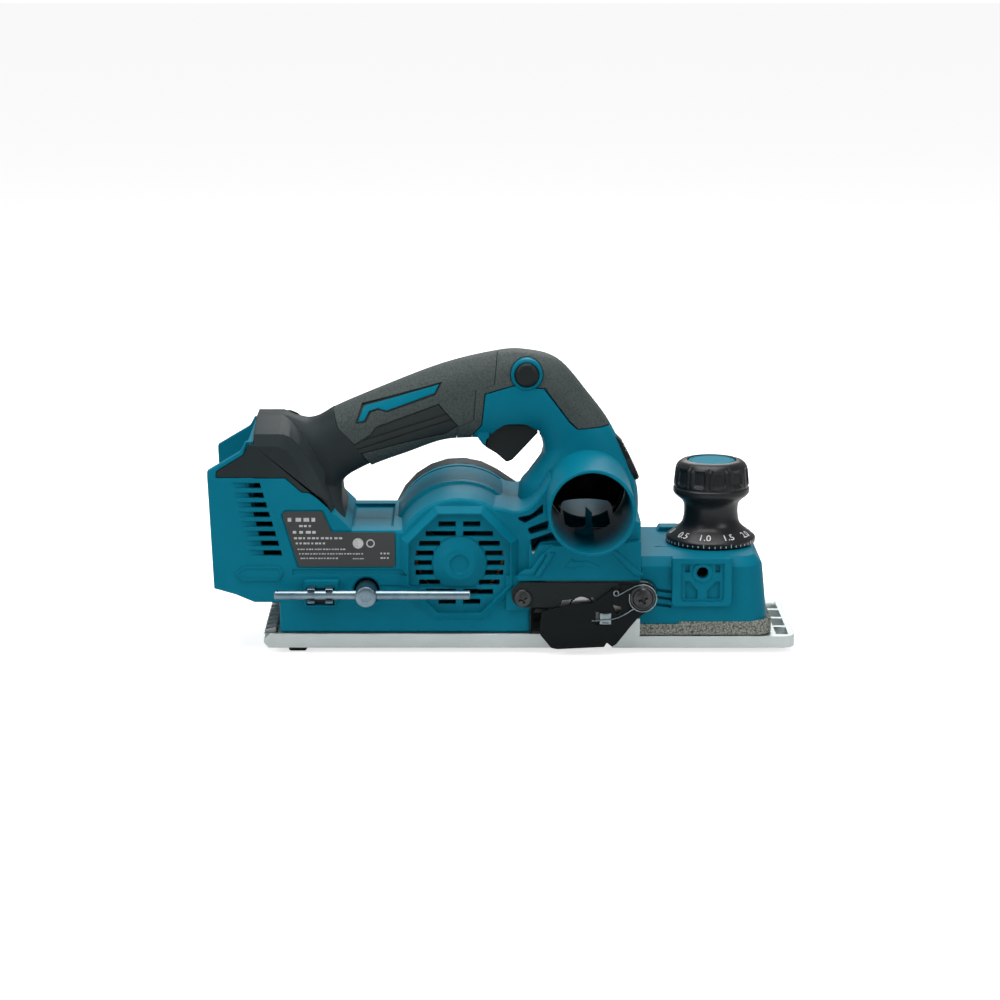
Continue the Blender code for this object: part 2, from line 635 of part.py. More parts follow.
def motor():
    """The brushless motor along Y, its fan behind the grille, and the belt drive."""
    stator = disc("stator", MOTOR_X, MOTOR_Z, 26.0, -16, 20, "copper_winding", 32)
    cut(stator, disc("stator_bore", MOTOR_X, MOTOR_Z, 14.0, -40, 40))
    rotor = turned_y("rotor", MOTOR_X, MOTOR_Z, [(SHAFT_R, -38), (SHAFT_R, -17), (13.4, -17), (13.4, 21), (SHAFT_R, 21), (SHAFT_R, 63.5)], "bright_steel", count=20)
    origin_to(rotor, MOTOR_X, 0, MOTOR_Z)
    fan = disc("cooling_fan", MOTOR_X, MOTOR_Z, 24.0, -20.5, -18.5, "black_plastic", 32)
    join(fan, disc("hub", MOTOR_X, MOTOR_Z, 8.0, -28, -19))
    for i in range(9):
        a = math.tau * i / 9
        p = (MOTOR_X + 7 * math.cos(a), MOTOR_Z + 7 * math.sin(a))
        q = (MOTOR_X + 23 * math.cos(a + 0.35), MOTOR_Z + 23 * math.sin(a + 0.35))
        n = Vector((q[1] - p[1], p[0] - q[0])).normalized() * 0.6
        vane = [(p[0] - n.x, p[1] - n.y), (q[0] - n.x, q[1] - n.y), (q[0] + n.x, q[1] + n.y), (p[0] + n.x, p[1] + n.y)]
        join(fan, prism("vane", vane, -27.5, -20))
    cut(fan, disc("fan_bore", MOTOR_X, MOTOR_Z, SHAFT_R + GAP, -50, 0, count=16))
    origin_to(fan, MOTOR_X, 0, MOTOR_Z)
    pulley_at("motor_pulley", MOTOR_X, MOTOR_Z, MOTOR_PULLEY_R)
    bearing("motor_bearing_right", MOTOR_X, MOTOR_Z, 9.5, -38.6, -32.6)
    bearing("motor_bearing_left", MOTOR_X, MOTOR_Z, 11.0, 39.5, 46.5)
    bearing("drum_bearing_right", DRUM_X, DRUM_Z, 11.0, -40.9, -33.9)
    bearing("drum_bearing_left", DRUM_X, DRUM_Z, 11.0, 41.9, 48.7)
    belt = prism("drive_belt", belt_outline(MOTOR_PULLEY_R + 2.4, DRUM_PULLEY_R + 2.4), *BELT_Y, "belt_rubber")
    cut(belt, prism("belt_room", belt_outline(MOTOR_PULLEY_R + GAP, DRUM_PULLEY_R + GAP), 40, 70))


COVER_SCREWS = [(-10.0, 49.0), (62.0, 62.0), (58.0, 12.0)]


def belt_cover():
    """The pressed cover over the belt, held by three screws."""
    shell = prism("belt_cover", belt_outline(39.6, 22), DRUM_WALL_HALF + GAP, 64)
    join(shell, prism("crown", belt_outline(37.1, 19.5), 60, 67.5))
    cut(
        shell,
        prism("room", belt_outline(37.1, 19.6), 40, 62),
        prism("crown_room", belt_outline(34.6, 17.5), 60, 65.2),
    )
    for x, z in COVER_SCREWS:
        join(shell, disc("boss", x, z, 5.5, DRUM_WALL_HALF + GAP, 66, count=16))
        cut(shell, disc("hole", x, z, 2.4, 30, 80, count=12), disc("seat", x, z, 4.2, 63.5, 80, count=16))
    finish_as(shell, "black_plastic")
    for number, (x, z) in enumerate(COVER_SCREWS, 1):
        profile = [(2.0, 48.0), (2.0, 63.8), (3.8, 63.8), (3.8, 66.6)]
        turned_y(f"belt_cover_screw_{number}", x, z, profile, "black_steel", count=12)


def electrics():
    slab("controller", (-88, -50), (-30, 30), (34, 56), "black_plastic")
    block = slab("terminal_block", (-100.5, -89.8), (-13.8, 13.8), (58.5, 81.5), "black_plastic")
    for y in (-8, 8):
        cut(block, slab("blade_slot", (-101, -92), (y - 2.2, y + 2.2), (60, 83)))
    slab("switch_body", (34, 60), (-8, 8), (126.6, 142), "black_plastic")


def trigger_and_button():
    outline = rounded([(38.5, 109.2), (50.9, 100.4, 2.0), (68.6, 117.2), (67.5, 122.5, 2), (42, 122.5, 2)])
    trigger = prism("trigger", outline, -9.6, 9.6)
    cut(trigger, disc("pivot_bore", *TRIGGER_PIVOT, 1.6, -20, 20, count=12))
    finish_as(trigger, "black_plastic")
    origin_to(trigger, TRIGGER_PIVOT[0], 0, TRIGGER_PIVOT[1])
    end = [(4.5, 20.4), (6.2, 19.6), (BUTTON_R, 18.4)]
    profile = [(r, -y) for r, y in end] + [(r, y) for r, y in end[::-1]]
    button = turned_y("lock_off_button", BUTTON_X, BUTTON_Z, profile, "black_plastic")
    origin_to(button, BUTTON_X, 0, BUTTON_Z)


def front_base():
    """The sole ahead of the drum, which the depth knob raises, with the drum's side of it hollowed."""
    swing = circle(DRUM_X, DRUM_Z - DEPTH_TRAVEL, 25.6, 6, math.radians(-36.0), math.radians(30.0))
    plate = rings_to_solid([plan_ring(110.3, FRONT_SOLE[1], SOLE_HALF, 7, z) for z in (0, FRONT_THICK)], "front_base")
    join(plate, prism("upstand", [(114, 2.5), *swing, (126, 17.0), (126, 2.5)], -SOLE_HALF, SOLE_HALF))
    cut(plate, prism("drum_side", [(100, -3), (110.3, -3), (110.3, 1.0), *swing, (100, 18)], -60, 60))
    join(plate, turned("boss", KNOB_X, 0, [(9, 3), (9, 14)], count=20))
    cut(plate, rod("thread", (KNOB_X, 0, 4), (KNOB_X, 0, 20), 3.3))
    for i in range(4):
        y = -39 + i * 20
        cut(plate, slab("pocket", (203.5, 210.5), (y, y + 17), (2.4, 12)))
    finish_as(plate, "aluminium")
    seal = rings_to_solid([plan_ring(126.6, 200.8, 42.6, 9, z) for z in (7.1, 14.9)], "front_seal")
    cut(seal, rings_to_solid([plan_ring(139, 187, 30, 6, z) for z in (0, 20)], "seal_room"))
    finish_as(seal, "foam")


def depth_control():
    """The turned knob with its dial, the cap in its top, its spindle and the spring under it."""
    knob = turned("depth_knob", KNOB_X, 0, [
        (25.7, 52.6), (25.7, 55.2), (24.6, 56.4), (18.5, 60.5), (15.4, 65), (14.7, 70), (15.6, 75), (20.2, 79.2),
        (21.7, 82), (21.7, 84.5), (20.9, 95), (18.6, 98.8), (14.6, 100.2),
    ], "knob_plastic")
    cut(knob, rod("cap_room", (KNOB_X, 0, 97.5), (KNOB_X, 0, 110), 13.9, count=24))
    cut(knob, rod("bore", (KNOB_X, 0, 40), (KNOB_X, 0, 97), 3.3))
    origin_to(knob, KNOB_X, 0, 52.6)
    cap = turned("knob_cap", KNOB_X, 0, [(13.5, 97.8), (13.5, 99.6), (11.5, 100.3)], "teal_plastic", 24)
    origin_to(cap, KNOB_X, 0, 97.8)
    screw = turned("depth_screw", KNOB_X, 0, [(3.0, 8.4), (3.0, 46), (5.6, 46), (5.6, 52.2), (3.0, 52.2), (3.0, 94)], "bright_steel", 16)
    origin_to(screw, KNOB_X, 0, 46)
    turns, per_turn = 4.5, 12
    steps = int(turns * per_turn)
    path = []
    for i in range(steps + 1):
        a = math.tau * i / per_turn
        path.append((KNOB_X + 6.0 * math.cos(a), 6.0 * math.sin(a), 15.4 + (33.0 - 15.4) * i / steps))
    tube_along("depth_spring", path, 0.8, "bright_steel", 5)


def blade_cover():
    """The plate screwed over the drum's end and the sprung cover that swings up in a rebate."""
    plate = prism("cover_plate", rounded([(53.4, 24.5, 7.1), (134.4, 24.5, 7.1), (134.4, 38.9, 7.1), (53.4, 38.9, 7.1)], 5), -46.6, -44.8)
    cut(
        plate,
        disc("axle_hole", DRUM_X, DRUM_Z, 7.2, -60, -30, count=20),
        disc("rear_hole", *PLATE_SCREW, 2.7, -60, -30, count=12),
        disc("pivot_hole", *COVER_PIVOT, 3.3, -60, -30, count=12),
    )
    finish_as(plate, "black_steel")
    outline = rounded([
        (126, 38.0, 5), (113, 38.4), (99.7, 28.3), (84, 26.5), (69.8, 22.3, 1), (70.2, 15.3), (68.7, 9.5, 1),
        (75.7, 1.4), (79.1, 0.9), (106, 2.2), (110, 1.2), (117, 8), (120.4, 14.2), (124.4, 18.2), (131, 23.2, 3), (134.2, 31, 5),
    ], 3)
    cover = prism("blade_cover", outline, -48.8, -47.3)
    join(cover, slab("tab", (102.6, 109.2), (-51.4, -48.5), (15.8, 16.8)))
    cut(cover, disc("pivot_hole", *COVER_PIVOT, 3.3, -60, -30, count=12))
    finish_as(cover, "black_steel")
    origin_to(cover, COVER_PIVOT[0], -48, COVER_PIVOT[1])
    head = [(4.2, -49.4), (5.1, -48.6), (5.1, -46.9), (2.4, -46.9), (2.4, -36)]
    rear = turned_y("cover_screw_rear", *PLATE_SCREW, head, "black_steel", 16)
    origin_to(rear, PLATE_SCREW[0], -46.9, PLATE_SCREW[1])
    turned_y("cover_pivot_screw", *COVER_PIVOT, [(5.0, -53.0), (6.9, -52.3), (6.9, -51.0), (3.0, -51.0), (3.0, -38.5)], "black_steel", 20)
    path = [(107.0, -50.3, 18.0), (115.0, -50.3, 21.0)]
    for i in range(13):
        a = math.radians(-75 + 22.5 * i)
        path.append((COVER_PIVOT[0] + 4.5 * math.cos(a), -50.3 + 0.9 * i / 12, COVER_PIVOT[1] + 4.5 * math.sin(a)))
    path.append((113.5, -49.4, 32.6))
    spring = tube_along("cover_spring", path, 0.38, "bright_steel", 5)
    origin_to(spring, COVER_PIVOT[0], -48, COVER_PIVOT[1])


def rest_foot():
    outline = rounded([(-72.8, -3.0, 1.2), (-63.4, -3.0, 1.0), (-61.4, -0.4), (-57.6, 2.0, 1.5), (-57.6, 6.8, 2), (-62, 6.8), (-72.8, 3.2, 1.5)], 3)
    foot = prism("rest_foot", outline, *FOOT_Y)
    cut(foot, disc("pin_bore", *FOOT_PIVOT, 1.8, -60, 0, count=12))
    finish_as(foot, "black_plastic")
    origin_to(foot, FOOT_PIVOT[0], FOOT_Y[0], FOOT_PIVOT[1])
    disc("foot_pin", *FOOT_PIVOT, 1.5, -42.2, -23.8, "bright_steel", 12)


def wrench():
    bar = rod("wrench_bar", (-80, WRENCH_Y, WRENCH_Z), (30, WRENCH_Y, WRENCH_Z), 2.65, "zinc_steel", 16)
    origin_to(bar, WRENCH_X, WRENCH_Y, WRENCH_Z)
    socket = turned_y("wrench_socket", WRENCH_X, WRENCH_Z, [(4.6, -58.2), (6.1, -57.0), (6.1, -28)], "zinc_steel", 20)
    cut(socket, rod("cross_hole", (-50, WRENCH_Y, WRENCH_Z), (0, WRENCH_Y, WRENCH_Z), 2.95), disc("hex", WRENCH_X, WRENCH_Z, 4.0, -40, -20, count=6))
    origin_to(socket, WRENCH_X, WRENCH_Y, WRENCH_Z)
    clip = slab("wrench_clip", (-59.6, -48.4), (-56.0, -39.5), (28.6, 37.0))
    cut(clip, slab("throat", (-70, -40), (-60, -48.9), (WRENCH_Z - 3.0, WRENCH_Z + 3.0)))
    finish_as(clip, "bright_steel")


def chip_selector():
    """The curved deflector in the duct and the lever on the front slope that turns it."""
    centre = Vector((DUCT_X, 0, DUCT_Z))
    up = Vector((-LEVER_AXIS.z, 0, LEVER_AXIS.x))
    side = Vector((0, 1, 0))

    def along(out, across, height):
        return tuple(centre + LEVER_AXIS * out + side * across + up * height)

    def wall(r, low, high, name):
        arc = circle(0, 0, r, 10, math.radians(5), math.radians(170))
        return rings_to_solid([[along(n, b, a) for a, b in arc] for n in (low, high)], name)

    deflector = wall(17.6, -12.3, 12.3, "chip_deflector")
    cut(deflector, wall(16.0, -20, 10.6, "scoop"))
    join(deflector, rod("stem", along(9, 0, 0), along(30.5, 0, 0), 3.0))
    finish_as(deflector, "black_plastic")
    origin_to(deflector, *centre)
    outline = rounded([(-6, -6, 5.5), (6, -6, 5.5), (5, 16, 3), (-5, 16, 3)])
    lever = rings_to_solid([[along(n, b, a) for b, a in outline] for n in (29.9, 33.4)], "direction_lever")
    cut(lever, rod("stem_bore", along(28, 0, 0), along(31.2, 0, 0), 3.3))
    finish_as(lever, "black_plastic")
    origin_to(lever, *along(30, 0, 0))


def rating_label():
    outline = [(-75.5, 76.7), (-73.8, 78.6), (-52.8, 78.6), (-47.6, 66.8), (-12.6, 66.4), (-12.3, 46.7), (-66.6, 46.7)]
    prism("rating_label", outline, -42.6, -42.3, "label_film")


def smooth_all():
    for obj in bpy.context.scene.objects:
        if obj.type == "MESH":
            obj.data.shade_smooth()
            obj.data.set_sharp_from_angle(angle=math.radians(35))


clear_scene()
casing()
housing_screws()
rear_shroud()
grips()
front_housing()
rear_base()
main_frame()
cutter()
motor()
belt_cover()
electrics()
trigger_and_button()
front_base()
depth_control()
blade_cover()
rest_foot()
wrench()
chip_selector()
rating_label()
smooth_all()
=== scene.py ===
"""The looks of a cordless electric hand planer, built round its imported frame.

Pieces are drawn in millimetres in the frame's own axes: +X is the planing
direction, +Y the belt side, +Z up, z = 0 the planed surface.
"""

import math

import bmesh
import bpy
from mathutils import Matrix, Vector


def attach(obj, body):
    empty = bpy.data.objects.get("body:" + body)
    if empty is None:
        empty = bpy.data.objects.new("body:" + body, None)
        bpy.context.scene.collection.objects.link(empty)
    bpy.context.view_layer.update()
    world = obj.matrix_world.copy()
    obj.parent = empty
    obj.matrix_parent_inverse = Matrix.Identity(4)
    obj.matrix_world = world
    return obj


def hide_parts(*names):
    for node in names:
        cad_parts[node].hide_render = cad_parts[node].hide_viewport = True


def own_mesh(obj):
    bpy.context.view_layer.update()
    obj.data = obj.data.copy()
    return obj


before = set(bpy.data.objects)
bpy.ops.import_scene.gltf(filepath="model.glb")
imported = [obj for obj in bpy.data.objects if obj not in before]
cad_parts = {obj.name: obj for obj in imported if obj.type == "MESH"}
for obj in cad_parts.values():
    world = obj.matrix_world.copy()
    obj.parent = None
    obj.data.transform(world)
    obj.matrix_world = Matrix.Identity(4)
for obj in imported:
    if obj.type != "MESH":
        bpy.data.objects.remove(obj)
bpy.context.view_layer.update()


# --- Studio -----------------------------------------------------------------
# A pale floor, a big soft light overhead, one from each side and a bright
# surround. The camera looks along +Y from a little above.

MM = 0.001
FLOOR_Z = -0.0035


def area_light(name, place, target, size, power):
    light = bpy.data.lights.new(name, "AREA")
    light.size = size
    light.energy = power
    lamp = bpy.data.objects.new(name, light)
    lamp.location = place
    lamp.rotation_euler = (Vector(target) - Vector(place)).to_track_quat("-Z", "Y").to_euler()
    bpy.context.scene.collection.objects.link(lamp)


def plain_material(name, colour, roughness):
    made = bpy.data.materials.new(name)
    made.use_nodes = True
    shader = made.node_tree.nodes["Principled BSDF"]
    shader.inputs["Base Color"].default_value = (*colour, 1)
    shader.inputs["Roughness"].default_value = roughness
    return made


camera = bpy.data.objects.new("camera", bpy.data.cameras.new("camera"))
camera.data.lens = 108
camera.data.shift_x = 0.037
camera.data.clip_end = 30
camera.location = (0.026, -1.6865, 0.4347)
camera.rotation_euler = (math.radians(78), 0, 0)
bpy.context.scene.collection.objects.link(camera)
bpy.context.scene.camera = camera

surround = bpy.data.worlds.new("surround")
surround.use_nodes = True
sky = surround.node_tree.nodes["Background"]
sky.inputs["Color"].default_value = (1, 1, 1, 1)
backdrop = surround.node_tree.nodes.new("ShaderNodeBackground")
backdrop.inputs["Color"].default_value = (1, 1, 1, 1)
backdrop.inputs["Strength"].default_value = 1.05
sky.inputs["Strength"].default_value = 0.29
seen = surround.node_tree.nodes.new("ShaderNodeLightPath")
either = surround.node_tree.nodes.new("ShaderNodeMixShader")
surround.node_tree.links.new(seen.outputs["Is Camera Ray"], either.inputs["Fac"])
surround.node_tree.links.new(sky.outputs[0], either.inputs[1])
surround.node_tree.links.new(backdrop.outputs[0], either.inputs[2])
surround.node_tree.links.new(either.outputs[0], surround.node_tree.nodes["World Output"].inputs["Surface"])
bpy.context.scene.world = surround
bpy.context.scene.view_settings.view_transform = "Standard"
area_light("overhead", (0.0, -0.1, 1.2), (0.03, 0, 0.05), 1.0, 14)
area_light("left_side", (-1.3, -1.0, 1.0), (0, 0, 0.06), 0.7, 9.5)
area_light("right_side", (1.2, -1.0, 0.9), (0.05, 0, 0.06), 0.7, 5.8)
area_light("behind", (0.2, 1.3, 1.0), (0, 0, 0.06), 0.8, 8)

ground = bmesh.new()
bmesh.ops.create_grid(ground, x_segments=1, y_segments=1, size=8)
bmesh.ops.translate(ground, verts=ground.verts, vec=(0, 0, FLOOR_Z))
floor_mesh = bpy.data.meshes.new("floor")
ground.to_mesh(floor_mesh)
ground.free()
floor = bpy.data.objects.new("floor", floor_mesh)
floor.data.materials.append(plain_material("pale_floor", (0.75, 0.75, 0.75), 0.9))
floor_shader = floor.data.materials[0].node_tree.nodes["Principled BSDF"]
floor_shader.inputs["Emission Color"].default_value = (1, 1, 1, 1)
shadowed = floor.data.materials[0].node_tree
floor_view = shadowed.nodes.new("ShaderNodeLightPath")
floor_glow = shadowed.nodes.new("ShaderNodeMath")
floor_glow.operation = "MULTIPLY"
floor_glow.inputs[1].default_value = 0.72
shadowed.links.new(floor_view.outputs["Is Camera Ray"], floor_glow.inputs[0])
shadowed.links.new(floor_glow.outputs[0], floor_shader.inputs["Emission Strength"])
bpy.context.scene.collection.objects.link(floor)


# --- Teal casing ------------------------------------------------------------
# Two halves of glass-filled nylon with a fine grain, parted along the middle
# plane. They carry the motor dome, the grille and louvres, the battery bay,
# the pillar and the round chip duct that runs across it.


class Wire:
    """An output of a material's node, on which arithmetic adds Math nodes."""

    def __init__(self, recipe, socket):
        self.recipe, self.socket = recipe, socket

    def _math(self, operation, first, second):
        return self.recipe.node("ShaderNodeMath", {"operation": operation}, {0: first, 1: second})

    def __add__(self, other):
        return self._math("ADD", self, other)

    __radd__ = __add__

    def __sub__(self, other):
        return self._math("SUBTRACT", self, other)

    def __rsub__(self, other):
        return self._math("SUBTRACT", other, self)

    def __mul__(self, other):
        return self._math("MULTIPLY", self, other)

    __rmul__ = __mul__


class Recipe:
    """A material being written: its shader's fixed values, and one method that adds any other node."""

    def __init__(self, name, **constants):
        self.material = bpy.data.materials.new(name)
        self.material.use_nodes = True
        self.tree = self.material.node_tree
        self.shader = self.tree.nodes["Principled BSDF"]
        for key, value in constants.items():
            self.shader.inputs[key.replace("_", " ")].default_value = value
        self.place = self.node("ShaderNodeTexCoord", output="Object")

    def node(self, kind, settings=None, inputs=None, output=0):
        made = self.tree.nodes.new(kind)
        for key, value in (settings or {}).items():
            if key == "stops":
                ramp = made.color_ramp.elements
                while len(ramp) < len(value):
                    ramp.new(0.5)
                for stop, (at, colour) in zip(ramp, value):
                    stop.position, stop.color = at, (*colour, 1)
            else:
                setattr(made, key, value)
        for key, value in (inputs or {}).items():
            if isinstance(value, Wire):
                self.tree.links.new(value.socket, made.inputs[key])
            else:
                made.inputs[key].default_value = value
        return Wire(self, made.outputs[output])

    def noise(self, scale, detail=2.0, roughness=0.5, stretch=None):
        place = self.place
        if stretch:
            place = self.node("ShaderNodeMapping", None, {"Vector": place, "Scale": stretch})
        return self.node("ShaderNodeTexNoise", None, {
            "Vector": place, "Scale": scale, "Detail": detail, "Roughness": roughness,
        })

    def ramp(self, value, *stops):
        return self.node("ShaderNodeValToRGB", {"stops": stops}, {"Fac": value})

    def grey_ramp(self, value, *stops):
        return self.ramp(value, *[(at, (grey, grey, grey)) for at, grey in stops])

    def feed(self, socket, wire):
        self.tree.links.new(wire.socket, self.shader.inputs[socket])

    def relief(self, height, depth, edge=0.0):
        """Bump of the given depth in metres, over edges that are eased by a radius."""
        inputs = {"Height": height, "Distance": depth, "Strength": 1.0}
        if edge:
            inputs["Normal"] = self.node("ShaderNodeBevel", {"samples": 4}, {"Radius": edge})
        self.feed("Normal", self.node("ShaderNodeBump", None, inputs))


def moulded(name, dark, light, roughness, grain=2600, depth=0.00003, edge=0.0008, gloss=0.5):
    """Moulded plastic: a slight drift of tone and a fine spark-eroded grain."""
    recipe = Recipe(name, Specular_IOR_Level=gloss)
    drift = recipe.noise(28, 3)
    recipe.feed("Base Color", recipe.ramp(drift, (0.35, dark), (0.65, light)))
    recipe.feed("Roughness", recipe.noise(55, 3) * 0.12 + (roughness - 0.06))
    recipe.relief(recipe.noise(grain, 2, 0.6), depth, edge)
    return recipe.material


teal_plastic = moulded("teal_plastic", (0.001, 0.140, 0.212), (0.0015, 0.154, 0.230), 0.42, gloss=0.05)


def rounded(corners, steps=6):
    """A closed outline whose corners (a, b, radius) are turned into arcs."""
    outline = []
    for i, corner in enumerate(corners):
        here = Vector(corner[:2])
        if len(corner) < 3:
            outline.append(tuple(here))
            continue
        back = (Vector(corners[i - 1][:2]) - here).normalized()
        ahead = (Vector(corners[(i + 1) % len(corners)][:2]) - here).normalized()
        half = back.angle(ahead) / 2
        centre = here + (back + ahead).normalized() * corner[2] / math.sin(half)
        first = here + back * corner[2] / math.tan(half) - centre
        last = here + ahead * corner[2] / math.tan(half) - centre
        turn = first.angle_signed(last)
        for k in range(steps + 1):
            outline.append(tuple(centre + Matrix.Rotation(-turn * k / steps, 2) @ first))
    return outline


def ease(bm, edges, radius, segments=3):
    bmesh.ops.bevel(
        bm, geom=list(edges), offset=radius, segments=segments, profile=0.5, affect="EDGES", material=-1,
        clamp_overlap=True,
    )


def pushed(points, along, edge=0.0):
    """A flat outline of 3-D points pushed along a vector, with both rims eased."""
    bm = bmesh.new()
    face = bm.faces.new([bm.verts.new(p) for p in points])
    made = bmesh.ops.extrude_face_region(bm, geom=[face])["geom"]
    moved = [v for v in made if isinstance(v, bmesh.types.BMVert)]
    bmesh.ops.translate(bm, verts=moved, vec=along)
    if edge:
        way = Vector(along).normalized()
        ease(bm, [e for e in bm.edges if abs(
            (e.verts[1].co - e.verts[0].co).normalized().dot(way)
        ) < 0.5], edge)
    return bm


def prism(corners, y0, y1, edge=0.0, steps=6):
    """An XZ outline pushed from y0 to y1."""
    return pushed([(x, y0, z) for x, z in rounded(corners, steps)], (0, y1 - y0, 0), edge)


def block(x, y, z, edge=0.0):
    return prism([(x[0], z[0]), (x[1], z[0]), (x[1], z[1]), (x[0], z[1])], y[0], y[1], edge)


def turned(profile, centre, way=(0, 1, 0), steps=72):
    """A (radius, height) profile spun about the line through centre along way."""
    bm = bmesh.new()
    line = [bm.verts.new((radius, 0, height)) for radius, height in profile]
    edges = [bm.edges.new(pair) for pair in zip(line, line[1:])]
    bmesh.ops.spin(
        bm, geom=line + edges, cent=(0, 0, 0), axis=(0, 0, 1), angle=math.tau, steps=steps, use_merge=True,
    )
    bmesh.ops.remove_doubles(bm, verts=bm.verts, dist=0.001)
    turn = Vector(way).to_track_quat("Z", "Y").to_matrix().to_4x4()
    bmesh.ops.transform(bm, matrix=Matrix.Translation(centre) @ turn, verts=bm.verts)
    return bm


def pin(start, end, radius, steps=40, edge=0.0):
    """A round bar between two points, its ends eased."""
    length = (Vector(end) - Vector(start)).length
    profile = [
        (0, 0), (radius - edge, 0), (radius, edge), (radius, length - edge), (radius - edge, length),
        (0, length),
    ]
    if not edge:
        profile = [(0, 0), (radius, 0), (radius, length), (0, length)]
    return turned(profile, start, Vector(end) - Vector(start), steps)


def arc(centre, radius, start, end, steps=6):
    """Points of an arc in a profile, from one angle in degrees to another."""
    turns = [math.radians(start + (end - start) * k / steps) for k in range(steps + 1)]
    return [(centre[0] + radius * math.cos(a), centre[1] + radius * math.sin(a)) for a in turns]


def skinned(rings):
    """A closed skin bridged from ring to ring, with both ends filled."""
    bm = bmesh.new()
    loops = []
    for ring in rings:
        verts = [bm.verts.new(p) for p in ring]
        loops.append([bm.edges.new((verts[i - 1], verts[i])) for i in range(len(verts))])
    for low, high in zip(loops, loops[1:]):
        bmesh.ops.bridge_loops(bm, edges=low + high)
    for loop in (loops[0], loops[-1]):
        bmesh.ops.contextual_create(bm, geom=loop)
    return bm


def solid(bm, name="tool"):
    bmesh.ops.remove_doubles(bm, verts=bm.verts, dist=0.0005)
    bmesh.ops.recalc_face_normals(bm, faces=bm.faces)
    mesh = bpy.data.meshes.new(name)
    bm.to_mesh(mesh)
    bm.free()
    made = bpy.data.objects.new(name, mesh)
    bpy.context.scene.collection.objects.link(made)
    return made


def settle(piece):
    """Replaces a piece's mesh by what its modifiers make of it."""
    bpy.context.view_layer.update()
    graph = bpy.context.evaluated_depsgraph_get()
    mesh = bpy.data.meshes.new_from_object(piece.evaluated_get(graph))
    piece.modifiers.clear()
    piece.data = mesh
    return piece


def combine(piece, operation, tools):
    for tool in tools:
        other = tool if isinstance(tool, bpy.types.Object) else solid(tool)
        boolean = piece.modifiers.new(operation.lower(), "BOOLEAN")
        boolean.object = other
        boolean.operation = operation
        boolean.solver = "MANIFOLD"
        before = piece.data
        settle(piece)
        if not piece.data.polygons:
            piece.data = before
            retry = piece.modifiers.new("retry", "BOOLEAN")
            retry.object = other
            retry.operation = operation
            settle(piece)
        bpy.data.objects.remove(other, do_unlink=True)
    return piece


def join(piece, *tools):
    return combine(piece, "UNION", tools)


def cut(piece, *tools):
    return combine(piece, "DIFFERENCE", tools)


def keep(piece, *tools):
    return combine(piece, "INTERSECT", tools)


def twin(piece, name):
    made = bpy.data.objects.new(name, piece.data.copy())
    bpy.context.scene.collection.objects.link(made)
    return made


def fit(piece, body, slot, finish, *nodes, angle=30):
    """Brings a piece to metres, shades it, and fixes it to its body in place of its CAD nodes."""
    piece.data.transform(Matrix.Scale(MM, 4))
    piece.data.materials.clear()
    piece.data.materials.append(finish)
    piece.data.shade_smooth()
    piece.data.set_sharp_from_angle(angle=math.radians(angle))
    normals = piece.modifiers.new("normals", "WEIGHTED_NORMAL")
    normals.keep_sharp = True
    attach(piece, body)
    if nodes:
        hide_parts(*nodes)
    return piece


# The handle is a row of stations: upper and lower points in the middle plane, and half-width.
HANDLE = [
    ((-84.0, 112.0), (-66.0, 70.0), 20.0),
    ((-66.0, 119.0), (-47.0, 84.0), 17.0),
    ((-48.8, 130.0), (-28.2, 96.4), 17.5),
    ((-18.0, 143.3), (-4.4, 105.5), 17.5),
    ((14.0, 155.6), (14.0, 112.0), 17.5),
    ((42.0, 162.6), (30.0, 113.4), 17.5),
    ((60.0, 164.0), (49.0, 113.6), 17.5),
    ((80.0, 158.3), (67.5, 117.0), 17.5),
    ((98.0, 138.0), (72.0, 107.0), 17.5),
    ((110.0, 121.5), (70.0, 102.0), 18.0),
    ((118.0, 104.5), (63.0, 92.5), 20.0),
    ((126.0, 84.0), (58.0, 84.0), 24.0),
    ((126.0, 58.0), (58.0, 58.0), 26.0),
]
SEAM, CROWN, SPLIT, BROW, SLOPE, BASE = 2, 4, 5, 8, 9, 12
MOTOR = (24.0, 49.0)
DUCT = (97.0, 84.6)
BUTTON = (62.0, 152.0)
DRUM = (92.9, 23.8)
LEVER = Vector((0.907, 0.0, 0.421)).normalized()
BODY_HALF = 42.0
BAR_Z = 32.8
SOCKET_LINE = (-28.4, 0, BAR_Z)
PIVOT = (127.0, 30.5)
GRIP_LINE = [
    (36.5, 96), (36.5, 123), (38.5, 141), (54, 145.6), (72, 144), (86.5, 124.9), (91, 120.8),
    (107.5, 121.6),
]


def squared_ring(top, bottom, half, inset, power, count=48):
    """A rounded-square ring round the line from bottom to top."""
    top, bottom = Vector((top[0], 0, top[1])), Vector((bottom[0], 0, bottom[1]))
    up = (top - bottom).normalized()
    high = (top - bottom).length / 2 - inset
    ring = []
    for i in range(count):
        c, s = math.cos(math.tau * i / count), math.sin(math.tau * i / count)
        rise = math.copysign(abs(c) ** (2 / power), c) * high
        side = math.copysign(abs(s) ** (2 / power), s) * (half - inset)
        ring.append(tuple((top + bottom) / 2 + up * rise + Vector((0, side, 0))))
    return ring


def glide(values, t):
    """A smooth curve through a row of numbers, read at t."""
    i = min(int(t), len(values) - 2)
    u = t - i
    a, b, c, d = (values[max(0, min(len(values) - 1, i + k))] for k in (-1, 0, 1, 2))
    return b + u * ((c - a) / 2 + u * (a - 2.5 * b + 2 * c - d / 2 + u * (1.5 * (b - c) + (d - a) / 2)))


